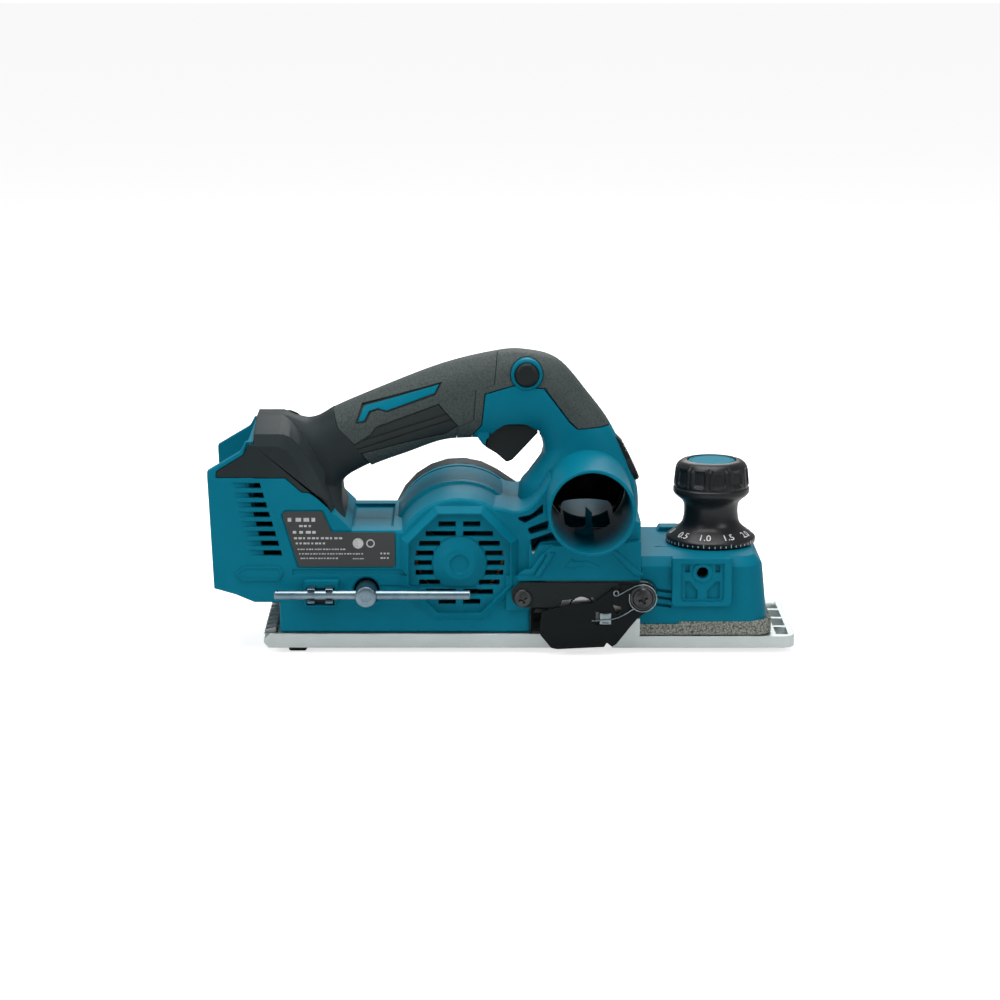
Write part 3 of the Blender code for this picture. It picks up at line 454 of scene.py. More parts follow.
def run(stations, first, last, inset=0.0, power=2.6, per=6):
    """A smooth loft along the stations from first to last."""
    rows = [(*top, *bottom, half) for top, bottom, half in stations]
    columns = list(zip(*rows))
    rings = []
    for k in range(int((last - first) * per) + 1):
        tx, tz, bx, bz, half = (glide(column, first + k / per) for column in columns)
        rings.append(squared_ring((tx, tz), (bx, bz), half, inset, power))
    return skinned(rings)


def belt_path(motor_r, drum_r, steps=28):
    """The outline of a tight belt round two circles on the motor's and the drum's axes."""
    reach = Vector(DRUM) - Vector(MOTOR)
    lean = math.degrees(math.atan2(reach.y, reach.x))
    fan = math.degrees(math.acos((motor_r - drum_r) / reach.length))
    round_motor = arc(MOTOR, motor_r, lean + fan, lean + 360 - fan, steps)
    return round_motor + arc(DRUM, drum_r, lean - fan, lean + fan, steps)


casing = solid(
    prism([
        (-77.6, 8.5, 2), (64, 8.5), (64, 41.2), (80, 41.2), (80, 60), (50, 67.6), (-44, 67.6), (-60, 60),
        (-77.6, 40),
    ], -41.9, 41.9, 1.8),
    "casing",
)
cut(casing, prism([
    (-37, 80), (-37, 67, 1), (-35.4, 65.6, 1), (-14.5, 65.6, 1), (-13.5, 67, 1), (-13.5, 80),
], -31, 31))
REAR_SIDE = [
    (-114.4, 34), (-117.3, 98), (-117.3, 101.4, 1), (-98.5, 112.6, 4), (-95.6, 118), (-91.4, 118),
    (-91.4, 97.6), (-73.6, 97.6), (-64.7, 89.6), (-60.3, 89.1), (-53, 84.9), (-47.2, 77.6), (-45.2, 66),
    (-45.2, 26), (-91.7, 26), (-102.1, 30.4),
]
MOTOR_LINE = (MOTOR[0], 0, MOTOR[1])
dome_side = [
    (0, -42.1), (34.8, -42.1), *arc((34.8, -39.9), 2.2, -90, -6, 4), (37.9, -8),
    *arc((40.9, -8.0), 3.0, 180, 120, 3), (39.9, -3.2), (39.9, 33.0), *arc((34.9, 35.0), 5.0, 0, 90),
    (0, 42.1),
]
WEB = [
    (44, 58), (37, 77.2), (43, 80.8, 2), (49, 80.3, 20), (59, 77.0, 12), (68, 86.0, 40), (75, 97.5),
    (90, 84), (126, 72), (126, 58),
]
DRUM_WALL = [
    (56.5, 39.4), (57.0, 43.2, 2), (64.4, 46.2, 2), (69.8, 53.6), (76.4, 59.8, 1), (126, 62), (126, 39.4),
]
join(
    casing,
    prism(REAR_SIDE, -BODY_HALF, BODY_HALF, 0.9),
    turned(dome_side, MOTOR_LINE, steps=120),
    prism(DRUM_WALL, -46.8, 46.8, 0.9),
    block((50.2, 63.8), (-44.5, 44.5), (22, 42), 0.5),
    prism(WEB, -41.8, 41.8, 5.0),
    keep(
        solid(run(HANDLE, SPLIT, BASE)),
        prism([
            (36.8, 50), (29.4, 106), (31.9, 116.6),
            *[(x + (0.3 if x < BUTTON[0] else -0.3), z - 0.3) for x, z in GRIP_LINE[1:]], (140, 121),
            (140, 50),
        ], -40, 40),
    ),
    prism(belt_path(39.4, 22), 41, 46.6),
    prism([
        (57.4, 43.4), (60.4, 46.2), (64.4, 46.4), (70.2, 55.0), (72.6, 55.0), (66.2, 44.4), (65.0, 43.4),
    ], -47.7, -46, 0.6),
    prism([(74.4, 56.0), (77.6, 56.0), (69.0, 41.8), (67.0, 41.8), (66.4, 43.0)], -47.7, -46, 0.6),
    prism([(108.4, 57.2), (112.0, 57.2), (127.4, 43.4), (126.6, 42.6), (122.6, 42.6)], -47.7, -46, 0.6),
    prism([
        (82.8, 47.9), (87.4, 52.6), (88.2, 50.8), (96, 51.2), (102.7, 47.9), (102.0, 46.6), (95, 48.6),
        (88.6, 47.9), (88.9, 46.2),
    ], -47.2, -46, 0.2),
)

# The near face of the motor dome: an eight-sided ridge round the intake grille, and a boss in its middle.


def octagon(apothem, y):
    turns = [math.tau * (k + 0.5) / 8 for k in range(8)]
    reach = apothem / math.cos(math.pi / 8)
    return [(MOTOR[0] + reach * math.cos(a), y, MOTOR[1] + reach * math.sin(a)) for a in turns]


join(casing, skinned([
    octagon(32.8, -38), octagon(32.8, -42.3), octagon(29.2, -45.9), octagon(28.6, -45.9),
    octagon(28.6, -38),
]))
cut(
    casing,
    block((-74.6, 61), (-39, 39), (0, 65)),
    block((50, 70), (-38.95, 38.95), (-5, 56.3)),
    block((64.1, 140), (-44.7, 44.7), (-5, 56.25)),
    block((64.05, 140), (-60, 60), (-5, 39.4)),
    turned([
        (0, -37), (34, -37), (35.4, -33), (35.4, -6), (37, 0), (37, 33), (0, 33),
    ], MOTOR_LINE, steps=64),
    prism([
        (-91.4, 29), (-38, 29), (-38, 65), (-50, 79), (-56, 86), (-76, 94), (-76, 110), (-91.4, 110),
    ], -38.9, 38.9),
    prism([(-130, 39.5), (-103, 33.4), (-94.4, 30), (-94.4, 150), (-130, 150)], -37, 37),
    run(HANDLE, SLOPE, BASE, 3.0),
    block((84, 110), (-19, 19), (50, 72)),
    block((-100, 140), (-43.9, 43.9), (-5, 8.45)),
)

# The skirt's rebate for the rear shroud, and the hollow core that carries the grips.
join(
    casing,
    block((63, 79), (-44.9, -43.7), (39.6, 60)),
    block((63, 79), (43.7, 44.9), (39.6, 60)),
    prism([(-49, 60), (-49, 77.6), (-46.4, 77.6), (-36.8, 68.2), (-36.8, 60)], -41.9, 41.9, 0.8),
)
SKIRT = [
    (-112.5, 97.7), (-112.2, 101.6), (-97, 111), (-93.6, 122.6), (-93.1, 128.4), (-88, 130), (-88, 97.7),
]
core = solid(run(HANDLE, 0, BROW, 2.8), "core")
join(core, turned([
    (0, -18.3), (8.1, -18.3), (9.0, -17.6), (9.0, 17.6), (8.1, 18.3), (0, 18.3),
], (BUTTON[0], 0, BUTTON[1])))
cut(casing, prism(SKIRT, -60, -39.8), prism(SKIRT, 39.8, 60))
join(casing, core, prism([
    (33.4, 116.4), (37.0, 111.4), (38.8, 109.8, 0.6), (41, 114), (41, 118.6), (36.6, 119),
], -12.5, 12.5, 1.5))
cut(
    casing,
    run(HANDLE, 1, SLOPE, 5.2),
    prism([(38.2, 105), (63, 105), (69.6, 113), (70, 124, 6), (38.2, 124, 2)], -10.2, 10.2),
    prism([
        (38.6, 100), (38.8, 113.2, 1), (44.5, 119.4, 6), (49.6, 123.2, 8), (63.5, 123.2, 9),
        (69.2, 115.4, 8), (71.4, 107), (60, 90),
    ], -40, 40),
    pin((BUTTON[0], -40, BUTTON[1]), (BUTTON[0], 40, BUTTON[1]), 7.1),
)

# The duct, its mouths turned to a thin rim.
DUCT_LINE = (DUCT[0], 0, DUCT[1])
join(casing, turned([
    (0, -75), (23.8, -75), (24.4, -74.4), (24.4, 80.4), (23.8, 81), (0, 81),
], DUCT_LINE, steps=128))
cut(
    casing,
    turned([
        (0, -90), (23.0, -90), (23.0, -75.0), (22.4, -74.2), (22.4, 80.2), (23.0, 81.0), (23.0, 90),
        (0, 90),
    ], DUCT_LINE, steps=128),
    block((84, 110), (-19, 19), (54, 70)),
    pin(Vector(DUCT_LINE) + LEVER * 10, Vector(DUCT_LINE) + LEVER * 40, 3.4),
)

# The grille's dished pocket and its slots, the louvres that slope into the side, and the vents by the duct.
PITCH = 5.6
cut(casing, turned([(0, -60), (28.9, -60), (28.9, -45.9), (25.9, -42.7), (0, -42.7)], MOTOR_LINE, steps=96))
join(casing, turned([
    (0, -41), (15.2, -41), (15.2, -42.8), (14.6, -43.2), (9.2, -46.0), (8.4, -46.2), (5.4, -46.2),
    (4.9, -45.4), (0, -45.2),
], MOTOR_LINE))
for row in range(9):
    z = MOTOR[1] + PITCH * (row - 4)
    far = math.sqrt(25.3**2 - (z - MOTOR[1]) ** 2)
    near = max(2.1, math.sqrt(max(15.6**2 - (z - MOTOR[1]) ** 2, 0)))
    for side in (-1, 1):
        x = sorted((MOTOR[0] + side * near, MOTOR[0] + side * far))
        cut(casing, block(x, (-60, -30), (z - 1.5, z + 1.5)))
for row in range(8):
    z = 93.3 - 5.52 * row
    x = -87.0 + 1.62 * row
    wide = 8.2 + 0.3 * row
    slope = [
        (x - 2, -44, z - 1.5), (x - 2, -39.4, z - 1.5), (x - wide, -40.2, z - 1.5),
        (x - wide - 9, -42.1, z - 1.5), (x - wide - 9, -44, z - 1.5),
    ]
    cut(
        casing,
        prism([(x - wide, z - 1.6), (x, z - 1.6), (x - 0.7, z + 1.6), (x - wide - 0.7, z + 1.6)], -60, -36),
        pushed(slope, (-0.7, 0, 3.1)),
    )
cut(
    casing,
    prism([
        (55.6, 74.9, 0.8), (64.5, 76.7, 8), (71.0, 83.2, 0.6), (71.0, 77.4, 0.6), (61.0, 71.6, 1.5),
    ], -60, -28),
    prism([(61.8, 68.7, 1.4), (74.6, 73.6, 0.6), (73.6, 68.0, 0.6), (64.0, 65.3, 1.4)], -60, -28),
    prism([
        (64.0, 62.4, 0.6), (75.6, 66.4), (84, 62.1), (76.2, 61.4), (69.6, 60.4), (65.0, 54.2),
    ], -60, -28),
    pin((MOTOR[0], -38.9, MOTOR[1]), (MOTOR[0], -30, MOTOR[1]), 9.8),
    pin((MOTOR[0], 30, MOTOR[1]), (MOTOR[0], 60, MOTOR[1]), 11.3),
    turned([(0, -60), (8.2, -60), (8.2, -41.6), (7.2, -40.6), (7.2, -35), (0, -35)], SOCKET_LINE),
    block((-60.5, -47.5), (-60, -35), (27.5, 38.1)),
    prism([(-70, 45.1), (-8, 45.1), (-5.2, 42.0), (-70, 42.0)], -60, -41.5),
    block((-98, -88), (-14.3, 14.3), (58, 82)),
    prism([
        (-76.3, 76.8, 1.5), (-74.0, 79.4, 1.5), (-52.4, 79.4, 1.5), (-47.2, 67.6, 1), (-12.0, 67.0, 1),
        (-11.6, 46.0, 1.5), (-67.2, 46.0, 2),
    ], -60, -41.4),
    prism([(-30, 29.6), (34, 29.6, 3), (34, 36.0, 3), (-30, 36.0)], -60, -41.2),
    pin((59.6, -60, 29.9), (59.6, -30, 29.9), 2.7),
)
CASING_SCREWS = [(-44.0, 26.0), (-80.0, 84.0), (-30.0, 58.0)]
for x, z in CASING_SCREWS:
    cut(casing, pin((x, 30, z), (x, 60, z), 3.8))
join(casing, pushed([(x, -43.0, z) for x, z in rounded([
    (-102.2, 42.7), (-97.9, 46.8), (-77.9, 46.8), (-75.1, 43.1), (-78, 38.6), (-98.6, 38.6),
])], (0, 2, 0), 0.3))
cut(casing, pushed([(x, -44, z) for x, z in [
    (-100.6, 42.7), (-97.3, 45.7), (-78.5, 45.7), (-76.6, 43.1), (-78.6, 39.7), (-98.0, 39.7),
]], (0, 1.4, 0)))

left_half = twin(casing, "casing_left")
cut(left_half, block((-200, 250), (-200, 0.15), (-50, 250)))
cut(casing, block((-200, 250), (-0.15, 200), (-50, 250)))
casing.name = "casing_right"
fit(casing, "body", "casing_teal", teal_plastic, "housing_right")
fit(left_half, "body", "casing_teal", teal_plastic, "housing_left")


# --- Grips ------------------------------------------------------------------
# Soft elastomer moulded over the handle's core, with a pebbled skin. The rear
# sleeve carries a teal inlay and a smooth ribbed panel on each flank; the
# front one runs over the top and round the lock-off button's ring.


def pebbled(name, dark, light, pebble=1050, depth=0.00009):
    recipe = Recipe(name, Roughness=0.62, Specular_IOR_Level=0.2)
    pebbles = recipe.node(
        "ShaderNodeTexVoronoi", {"feature": "SMOOTH_F1"}, {"Vector": recipe.place, "Scale": pebble},
    )
    fleck = recipe.noise(1500, 2)
    recipe.feed("Base Color", recipe.ramp(pebbles * 0.6 + fleck * 0.4, (0.3, light), (0.62, dark)))
    recipe.feed("Roughness", 0.5 + pebbles * 0.25)
    recipe.relief(1 - pebbles + fleck * 0.4, depth, 0.0006)
    return recipe.material


grip_rubber = pebbled("grip_rubber", (0.036, 0.047, 0.046), (0.056, 0.072, 0.070))
smooth_rubber = moulded(
    "smooth_rubber", (0.016, 0.022, 0.022), (0.021, 0.028, 0.028), 0.5, 1500, 0.00002, 0.0004, 0.18,
)
AROUND = (-60, 60)
SEAM_STEP = [(-48.3, 132.6), (-44.9, 121.2), (-36.9, 113.6), (-27.6, 101.4), (-24, 94)]
SPLIT_STEP = [(45.9, 168), (43.7, 145.9), (33.3, 143.1), (32.0, 125.6), (23.2, 121.6), (21, 100)]


def gap_line(line, shift):
    return [(x + shift, z) for x, z in line]


rear_grip = solid(run(HANDLE, SEAM - 0.4, SPLIT + 0.5, per=8), "rear_grip")
keep(rear_grip, prism([
    *gap_line(SEAM_STEP, 0.1)[::-1], (-50, 180), (45.4, 180), *gap_line(SPLIT_STEP, -0.15), (20, 80),
    (-30, 80),
], *AROUND))
PANEL = [
    (-36.9, 111.3), (-26.5, 117.9), (-23.2, 122.3), (12.4, 135.5), (23.4, 122.3), (16, 117.5), (-6, 113),
    (-33.1, 105.9),
]
PANEL_FACE = [
    (-35.6, 111.2), (-26.0, 117.3), (-22.8, 121.6), (12.2, 134.8), (22.4, 122.4), (15.6, 118.0),
    (-6.0, 113.6), (-32.7, 106.7),
]
INLAY_TROUGH = [
    (-35.0, 123.7), (-31.2, 134.8), (14.2, 147.6), (10.5, 140.2), (-17.3, 130.2), (-21.8, 131.6),
    (-26.2, 130.0), (-29.2, 124.3),
]
INLAY = [
    (-33.6, 124.9), (-30.0, 133.4), (12.5, 146.2), (9.8, 141.4), (-17.3, 131.3), (-22.1, 132.6),
    (-27.2, 130.9), (-30.0, 125.6),
]
RIBS = [[(-40, z), (30, z + 22.6), (30, z + 21.6), (-40, z - 1.0)] for z in (111.9, 107.8)]


def sleeve(inset):
    return run(HANDLE, SEAM - 0.6, SPLIT + 0.7, inset, per=8)


for side, name in ((-1, "right"), (1, "left")):
    y0, y1 = sorted((side * 8, side * 40))
    groove = solid(prism(PANEL, y0, y1))
    trough = solid(prism(INLAY_TROUGH, y0, y1))
    cut(groove, sleeve(1.1))
    cut(trough, sleeve(1.2))
    cut(rear_grip, groove, trough)
    inlay = solid(prism(INLAY, y0, y1), f"grip_inlay_{name}")
    keep(inlay, sleeve(0.12))
    cut(inlay, sleeve(1.6))
    fit(inlay, "body", "casing_teal", teal_plastic)
    panel = solid(prism(PANEL_FACE, y0, y1), f"grip_panel_{name}")
    keep(panel, sleeve(0.16))
    for outline in RIBS:
        rib = solid(prism(outline, y0, y1))
        cut(rib, sleeve(0.75))
        cut(panel, rib)
    cut(panel, sleeve(1.6))
    fit(panel, "body", "grip_rubber", smooth_rubber)
fit(rear_grip, "body", "grip_rubber", grip_rubber, "grip_rear", angle=40)

front_grip = solid(run(HANDLE, CROWN, SLOPE + 0.3, per=8), "front_grip")
FRONT_AREA = [
    *gap_line(SPLIT_STEP, 0.15)[::-1], (46.2, 180), (118, 180), (112.6, 121.9), (107.5, 121.9),
    (91.2, 121.0), (86.8, 125.2), (72.4, 144.4), (54.2, 145.9), (38.2, 141.2), (36.3, 123), (31.5, 117.0),
    (29.0, 106), (25, 96),
]
keep(front_grip, prism(FRONT_AREA, *AROUND))
cut(front_grip, pin((BUTTON[0], -40, BUTTON[1]), (BUTTON[0], 40, BUTTON[1]), 9.3, 64))
cut(front_grip, prism([(34, 80), (71, 80), (71, 124), (34, 124)], -10.2, 10.2))
fit(front_grip, "body", "grip_rubber", grip_rubber, "grip_front", angle=40)


# --- Rear shroud ------------------------------------------------------------
# The dark cover over the battery bay, with a ridged roof and a rounded front
# corner, which narrows through a waist into the root of the handle.

dark_plastic = moulded(
    "dark_plastic", (0.018, 0.025, 0.027), (0.023, 0.031, 0.033), 0.5, 1900, 0.00004, 0.0010, 0.08,
)
NECK = [
    ((-92.0, 127.2), (-92.0, 100), 12.0),
    ((-76.0, 127.4), (-76.0, 92), 13.0),
    ((-68.5, 125.6), (-66.0, 84), 17.0),
    ((-62.5, 124.3), (-56.0, 74), 21.0),
    ((-57.0, 125.4), (-46.4, 79), 20.0),
    ((-52.8, 127.6), (-41.4, 90), 18.2),
    ((-48.4, 130.4), (-31.0, 96.6), 17.5),
    ((-42.4, 133.4), (-21.8, 100.6), 17.5),
]
LOWER_EDGE = [(-47.9, 77.9), (-52.8, 85.2), (-60.1, 89.4), (-64.5, 89.9), (-73.5, 97.9), (-91.1, 97.9)]
NEAR_FACE = [
    (-91.1, 115.5), (-77.9, 115.5), (-72.9, 113.3), (-69.4, 109.2), (-66.9, 104.3), (-58.0, 88.0),
    (-47.7, 78.6),
]
SHOULDER = [
    (-91.1, 121.9), (-74.5, 121.9), (-70.6, 120.3), (-65.6, 115.8), (-61.7, 109.7), (-54.8, 96.4),
    (-46.6, 78.8),
]
ROOF_SLOPE = [  # along the block: x, the height at the shoulder, the roof's height and its half-width
    (-91.1, 121.9, 127.1, 12.5), (-76.8, 121.9, 127.1, 12.5), (-71.5, 119.4, 124.2, 13.5),
    (-66.0, 113.0, 119.0, 15), (-60.0, 103.0, 113.0, 16), (-52.0, 88.0, 98.0, 17), (-45.0, 70.0, 80.0, 17),
]
shroud = solid(skinned([
    [(x, y, z) for x, z in face + LOWER_EDGE]
    for y, face in ((-42, NEAR_FACE), (-38.2, SHOULDER), (38.2, SHOULDER), (42, NEAR_FACE))
]), "shroud")
cut(shroud, skinned([
    [
        (x, -37.4, low), (x, -top_half, high), (x, top_half, high), (x, 37.4, low), (x, 37.4, 150),
        (x, -37.4, 150),
    ]
    for x, low, high, top_half in ROOF_SLOPE
]))
roof = solid(skinned([
    [
        (x, -38.2, low), (x, -top_half, high), (x, top_half, high), (x, 38.2, low), (x, 38.2, 70),
        (x, -38.2, 70),
    ]
    for x, low, high, top_half in ROOF_SLOPE[:6]
]), "roof")
keep(roof, prism([*LOWER_EDGE, (-91.1, 140), (-52.4, 140)], -43, 43))
foot_rings = [
    (68.4, -62, -39.6, 38.5, 9), (74.0, -62, -41.2, 35, 10), (80.0, -62, -42.6, 29, 12),
    (88.0, -62, -43.0, 20, 12), (94, -60, -43.0, 17, 8),
]
foot_flare = solid(skinned([
    [(x, y, z) for x, y in rounded([(x0, -half), (x1, -half, radius), (x1, half, radius), (x0, half)], 8)]
    for z, x0, x1, half, radius in foot_rings
]))
shroud_neck = solid(run(NECK, 0, 7, per=8))
SHROUD_AREA = [
    (-91.1, 97.9), (-91.1, 150), (-48.6, 150), *gap_line(SEAM_STEP, -0.1), (-30, 68.3), (-44.5, 68.3),
    (-46.9, 77.9), (-52.8, 85.2), (-60.1, 89.4), (-64.5, 89.9), (-73.5, 97.9),
]
keep(shroud_neck, prism(SHROUD_AREA, -60, 60))
SKIRT_SIDE = [(-112.2, 98), (-111.9, 101.3), (-96.8, 110.7, 3), (-93.6, 116.4), (-89.6, 116.4), (-89.6, 98)]
join(
    shroud, roof, shroud_neck, foot_flare, prism(SKIRT_SIDE, -42, -40.1, 0.4),
    prism(SKIRT_SIDE, 40.1, 42, 0.4),
)
cut(
    shroud,
    skinned([
        [
            (x, -36, low - 3.4), (x, -top_half + 2, high - 3.2), (x, top_half - 2, high - 3.2),
            (x, 36, low - 3.4), (x, 36, 60), (x, -36, 60),
        ]
        for x, low, high, top_half in [(-95, 121.9, 127.1, 12.5), *ROOF_SLOPE[1:4]]
    ]),
)
fit(shroud, "body", "shroud_plastic", dark_plastic, "rear_shroud", angle=26)


# --- Trigger and lock-off button --------------------------------------------
# Satin black nylon. The trigger has a hollow, rounded face for the finger,
# and the button is one bar through the handle with a domed cap on each end.

satin_black = moulded(
    "satin_black", (0.008, 0.011, 0.012), (0.011, 0.015, 0.016), 0.42, 2200, 0.00002, 0.0009, 0.2,
)
trigger = solid(prism([
    (38.5, 109.2, 1), (45, 105.4, 20), (50.9, 100.2, 1.6), (54.2, 101.6, 3), (68.6, 117.2, 1),
    (67.5, 122.5, 2), (42, 122.5, 2),
], -9.6, 9.6, 2.2), "trigger_lever")
fit(trigger, "trigger", "black_plastic", satin_black, "trigger")
cap_profile = [(0, -20.6), *[
    (6.3 * math.sin(a), -20.6 + 1.5 * (1 - math.cos(a)))
    for a in [math.radians(10 * k) for k in range(1, 9)]
]]
button = solid(turned([
    *cap_profile, (6.8, -18.6), (6.8, 18.6), *[(r, -y) for r, y in cap_profile[::-1]],
], (BUTTON[0], 0, BUTTON[1])), "lock_button")
fit(button, "lock_off", "black_plastic", satin_black, "lock_off_button")


# --- Front housing ----------------------------------------------------------
# The teal cover over the depth screw's guide. Each side has a louvred boss
# with a threaded hole for the edge fence, and the deck is chamfered all round.


def plan_ring(x0, x1, half, radius, z, steps=10):
    return [(x, y, z) for x, y in rounded([
        (x0, -half), (x1, -half, radius), (x1, half, radius), (x0, half),
    ], steps)]


deck = solid(skinned([
    plan_ring(126.3, 198.6, 43, 12, 15.3), plan_ring(126.3, 195.4, 43, 12, 46.4),
    plan_ring(126.3, 195.0, 42.6, 12, 47.4), plan_ring(126.3, 191.6, 39.2, 9, 51.2),
    plan_ring(126.3, 190.6, 38.2, 8.5, 52),
]), "front_cover")
join(
    deck, block((123.8, 147.8), (-42.9, 42.9), (13.9, 23.5), 0.5),
    prism([(138, 50), (141, 54.8), (151, 54.8), (154, 50)], 25.6, 36, 0.8),
    block((113.8, 130), (43, 46.8), (15.7, 44), 0.5),
)
for side in (-1, 1):
    back, face = side * 40, side * 46.2
    outer = prism([
        (143.6, 26.2, 1.5), (143.6, 52.4, 0.5), (177.2, 52.4, 0.5), (177.2, 26.2, 1.5), (175.6, 24.6),
        (145.2, 24.6),
    ], *sorted((back, face)), 0.7)
    join(deck, outer)
    cut(deck, prism([
        (148.6, 29, 1), (148.6, 49.3, 0.6), (172.9, 49.3, 0.6), (172.9, 29, 1), (171.4, 27.3),
        (150.2, 27.3),
    ], *sorted((side * 44.9, side * 50))))
    join(deck, turned([
        (0, 43), (5.9, 43), (5.9, 45.0), (5.4, 45.6), (0, 45.6),
    ], (160.7, 0, 44), (0, side, 0), 48))
    low, high = sorted((side * 43.4, side * 50))
    cut(
        deck,
        block((150.9, 153.6), (low, high), (44.2, 48.2)),
        block((167.9, 170.6), (low, high), (44.2, 48.2)),
        prism([
            (151.0, 38.9, 0.6), (153.6, 38.9, 0.8), (158.0, 33.6, 0.6), (158.0, 28.8, 0.6),
            (151.0, 28.8, 0.6),
        ], low, high),
        prism([
            (170.6, 38.9, 0.6), (168.0, 38.9, 0.8), (163.6, 33.6, 0.6), (163.6, 28.8, 0.6),
            (170.6, 28.8, 0.6),
        ], low, high),
    )
    for row in range(3):
        z = 34.6 - 4.2 * row
        cut(deck, prism([
            (133.8, z), (143.6, z - 1.4), (143.6, z - 3.0), (133.8, z - 1.8),
        ], *sorted((side * 41.0, side * 46))))
cut(
    deck,
    skinned([
        plan_ring(120, x, half, r, z, 6)
        for x, half, r, z in ((195.6, 40, 9, 5), (192.2, 40, 9, 45), (190, 37, 7, 49))
    ]),
    pin((168.5, 0, 40), (168.5, 0, 60), 6.3),
    pin((160.7, -60, 44), (160.7, 60, 44), 3.3),
    prism([(120, 23.6), (135.4, 23.6, 7), (135.4, 39.8, 7), (120, 39.8)], -60, -41.5),
    pushed([(135, -14, 51.7), (139.4, -16, 51.7), (139.4, -12, 51.7)], (0, 0, 2)),
    pushed([
        (139.2, -14.5, 51.7), (143.6, -14.5, 51.7), (143.6, -13.5, 51.7), (139.2, -13.5, 51.7),
    ], (0, 0, 2)),
)
fit(deck, "body", "casing_teal", teal_plastic, "front_housing")


# --- Soles and frame --------------------------------------------------------
# Die-cast aluminium. The soles' edges are milled and their undersides ground;
# the tail keeps its cast pockets, and the front sole has grooves for corners.


def milled(name, dark, light, roughness, stretch, depth, scale=60):
    recipe = Recipe(name, Metallic=1.0)
    lines = recipe.noise(scale, 4, 0.7, stretch)
    cloud = recipe.noise(35, 3)
    recipe.feed("Base Color", recipe.ramp(lines * 0.5 + cloud * 0.5, (0.3, dark), (0.7, light)))
    recipe.feed("Roughness", lines * 0.16 + (roughness - 0.08))
    recipe.relief(lines, depth, 0.0005)
    return recipe.material


milled_aluminium = milled(
    "milled_aluminium", (0.52, 0.575, 0.57), (0.66, 0.71, 0.705), 0.46, (1, 8, 30), 0.00002,
)
cast_aluminium = milled(
    "cast_aluminium", (0.38, 0.40, 0.40), (0.50, 0.52, 0.52), 0.5, (1, 1, 1), 0.00012, 500,
)


def refined(node, name, edge=0.0, segments=2):
    """A merged copy of a CAD node in millimetres, its flats dissolved and its edges eased."""
    bm = bmesh.new()
    bm.from_mesh(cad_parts[node].data)
    bmesh.ops.scale(bm, vec=(1 / MM,) * 3, verts=bm.verts)
    bmesh.ops.remove_doubles(bm, verts=bm.verts, dist=0.002)
    bmesh.ops.dissolve_limit(bm, angle_limit=math.radians(1), verts=bm.verts, edges=bm.edges)
    piece = solid(bm, name)
    if edge:
        soft = piece.modifiers.new("edge", "BEVEL")
        soft.width = edge
        soft.segments = segments
        soft.limit_method = "ANGLE"
        soft.angle_limit = math.radians(35)
        soft.harden_normals = False
        settle(piece)
    return piece


fit(refined("rear_base", "rear_sole", 0.35), "body", "cast_aluminium", milled_aluminium, "rear_base")
fit(
    refined("front_base", "front_sole", 0.35), "front_shoe", "cast_aluminium", milled_aluminium,
    "front_base",
)
fit(refined("main_frame", "frame_casting", 0.4), "body", "cast_aluminium", cast_aluminium, "main_frame")

tail = solid(block((-86.4, -80.5), (-43.3, 43.3), (8.0, 8.3)), "tail_ridges")
for k in range(9):
    y = -38 + 9.5 * k
    join(tail, pushed([
        (-86.2, y, 3.2), (-86.4, y, 9.2), (-80.0, y, 10.6), (-79.4, y, 3.2),
    ], (0, 1.6, 0), 0.4))
fit(tail, "body", "cast_aluminium", cast_aluminium)


# --- Foam seal --------------------------------------------------------------
# A strip of open-cell foam, glued under the front housing, that keeps chips
# in. It is cut from sheet, so its sides show the cells.

foam = Recipe("foam_cells", Roughness=0.95, Specular_IOR_Level=0.2)
cells = foam.node("ShaderNodeTexVoronoi", None, {"Vector": foam.place, "Scale": 900})
foam.feed("Base Color", foam.ramp(
    cells * 0.7 + foam.noise(700, 3) * 0.3, (0.12, (0.42, 0.44, 0.40)), (0.5, (0.20, 0.21, 0.185)),
    (0.75, (0.07, 0.074, 0.066)),
))
foam.relief(cells, 0.0006)
seal = solid(skinned([
    plan_ring(124.0, 200.4, 42.3, 9, 7.1), plan_ring(124.0, 200.9, 42.8, 9, 7.8),
    plan_ring(124.0, 200.9, 42.8, 9, 15.2), plan_ring(124.0, 200.4, 42.3, 9, 15.6),
]), "foam_seal")
cut(
    seal, skinned([plan_ring(139, 187, 30, 6, z) for z in (0, 20)]),
    block((120, 148.2), (-50, 50), (13.7, 20)),
)
fit(seal, "body", "foam", foam.material, "front_seal")
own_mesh(seal)


# --- Depth knob -------------------------------------------------------------
# A black knob turned by the front hand: a scale printed on its skirt, a waist,
# a head with rounded finger pockets, and a teal cap pressed into the top.

KNOB = (168.5, 0, 0)
knob_black = moulded(
    "knob_black", (0.008, 0.009, 0.010), (0.011, 0.012, 0.013), 0.32, 2400, 0.000015, 0.0005, 0.35,
)
knob_side = [
    (0, 52.6), (25.2, 52.6), (25.7, 53.1), (25.7, 55.4), (25.3, 56.0), (24.6, 56.5), (18.9, 60.9),
    (17.2, 62.6), (16.2, 64.6), (15.7, 67.0), (15.4, 70.0), (15.4, 73.0), (15.8, 75.2), (16.9, 77.0),
    (18.8, 78.6), (20.6, 80.0), (21.7, 81.4), (21.9, 82.4), (21.7, 84.2), (21.1, 84.8), (21.1, 85.6),
    (21.5, 86.2), (21.5, 87.0), (21.45, 88.0), (21.35, 89.0), (21.25, 90.0), (21.15, 91.0), (21.05, 92.0),
    (20.95, 93.0), (20.85, 94.0), (20.7, 95.0), (20.3, 96.6), (19.3, 98.2), (17.6, 99.5), (15.4, 100.2),
    (14.2, 100.2), (13.9, 99.8), (13.9, 97.5), (0, 97.5),
]
knob_mesh = turned(knob_side, KNOB, (0, 0, 1), 240)
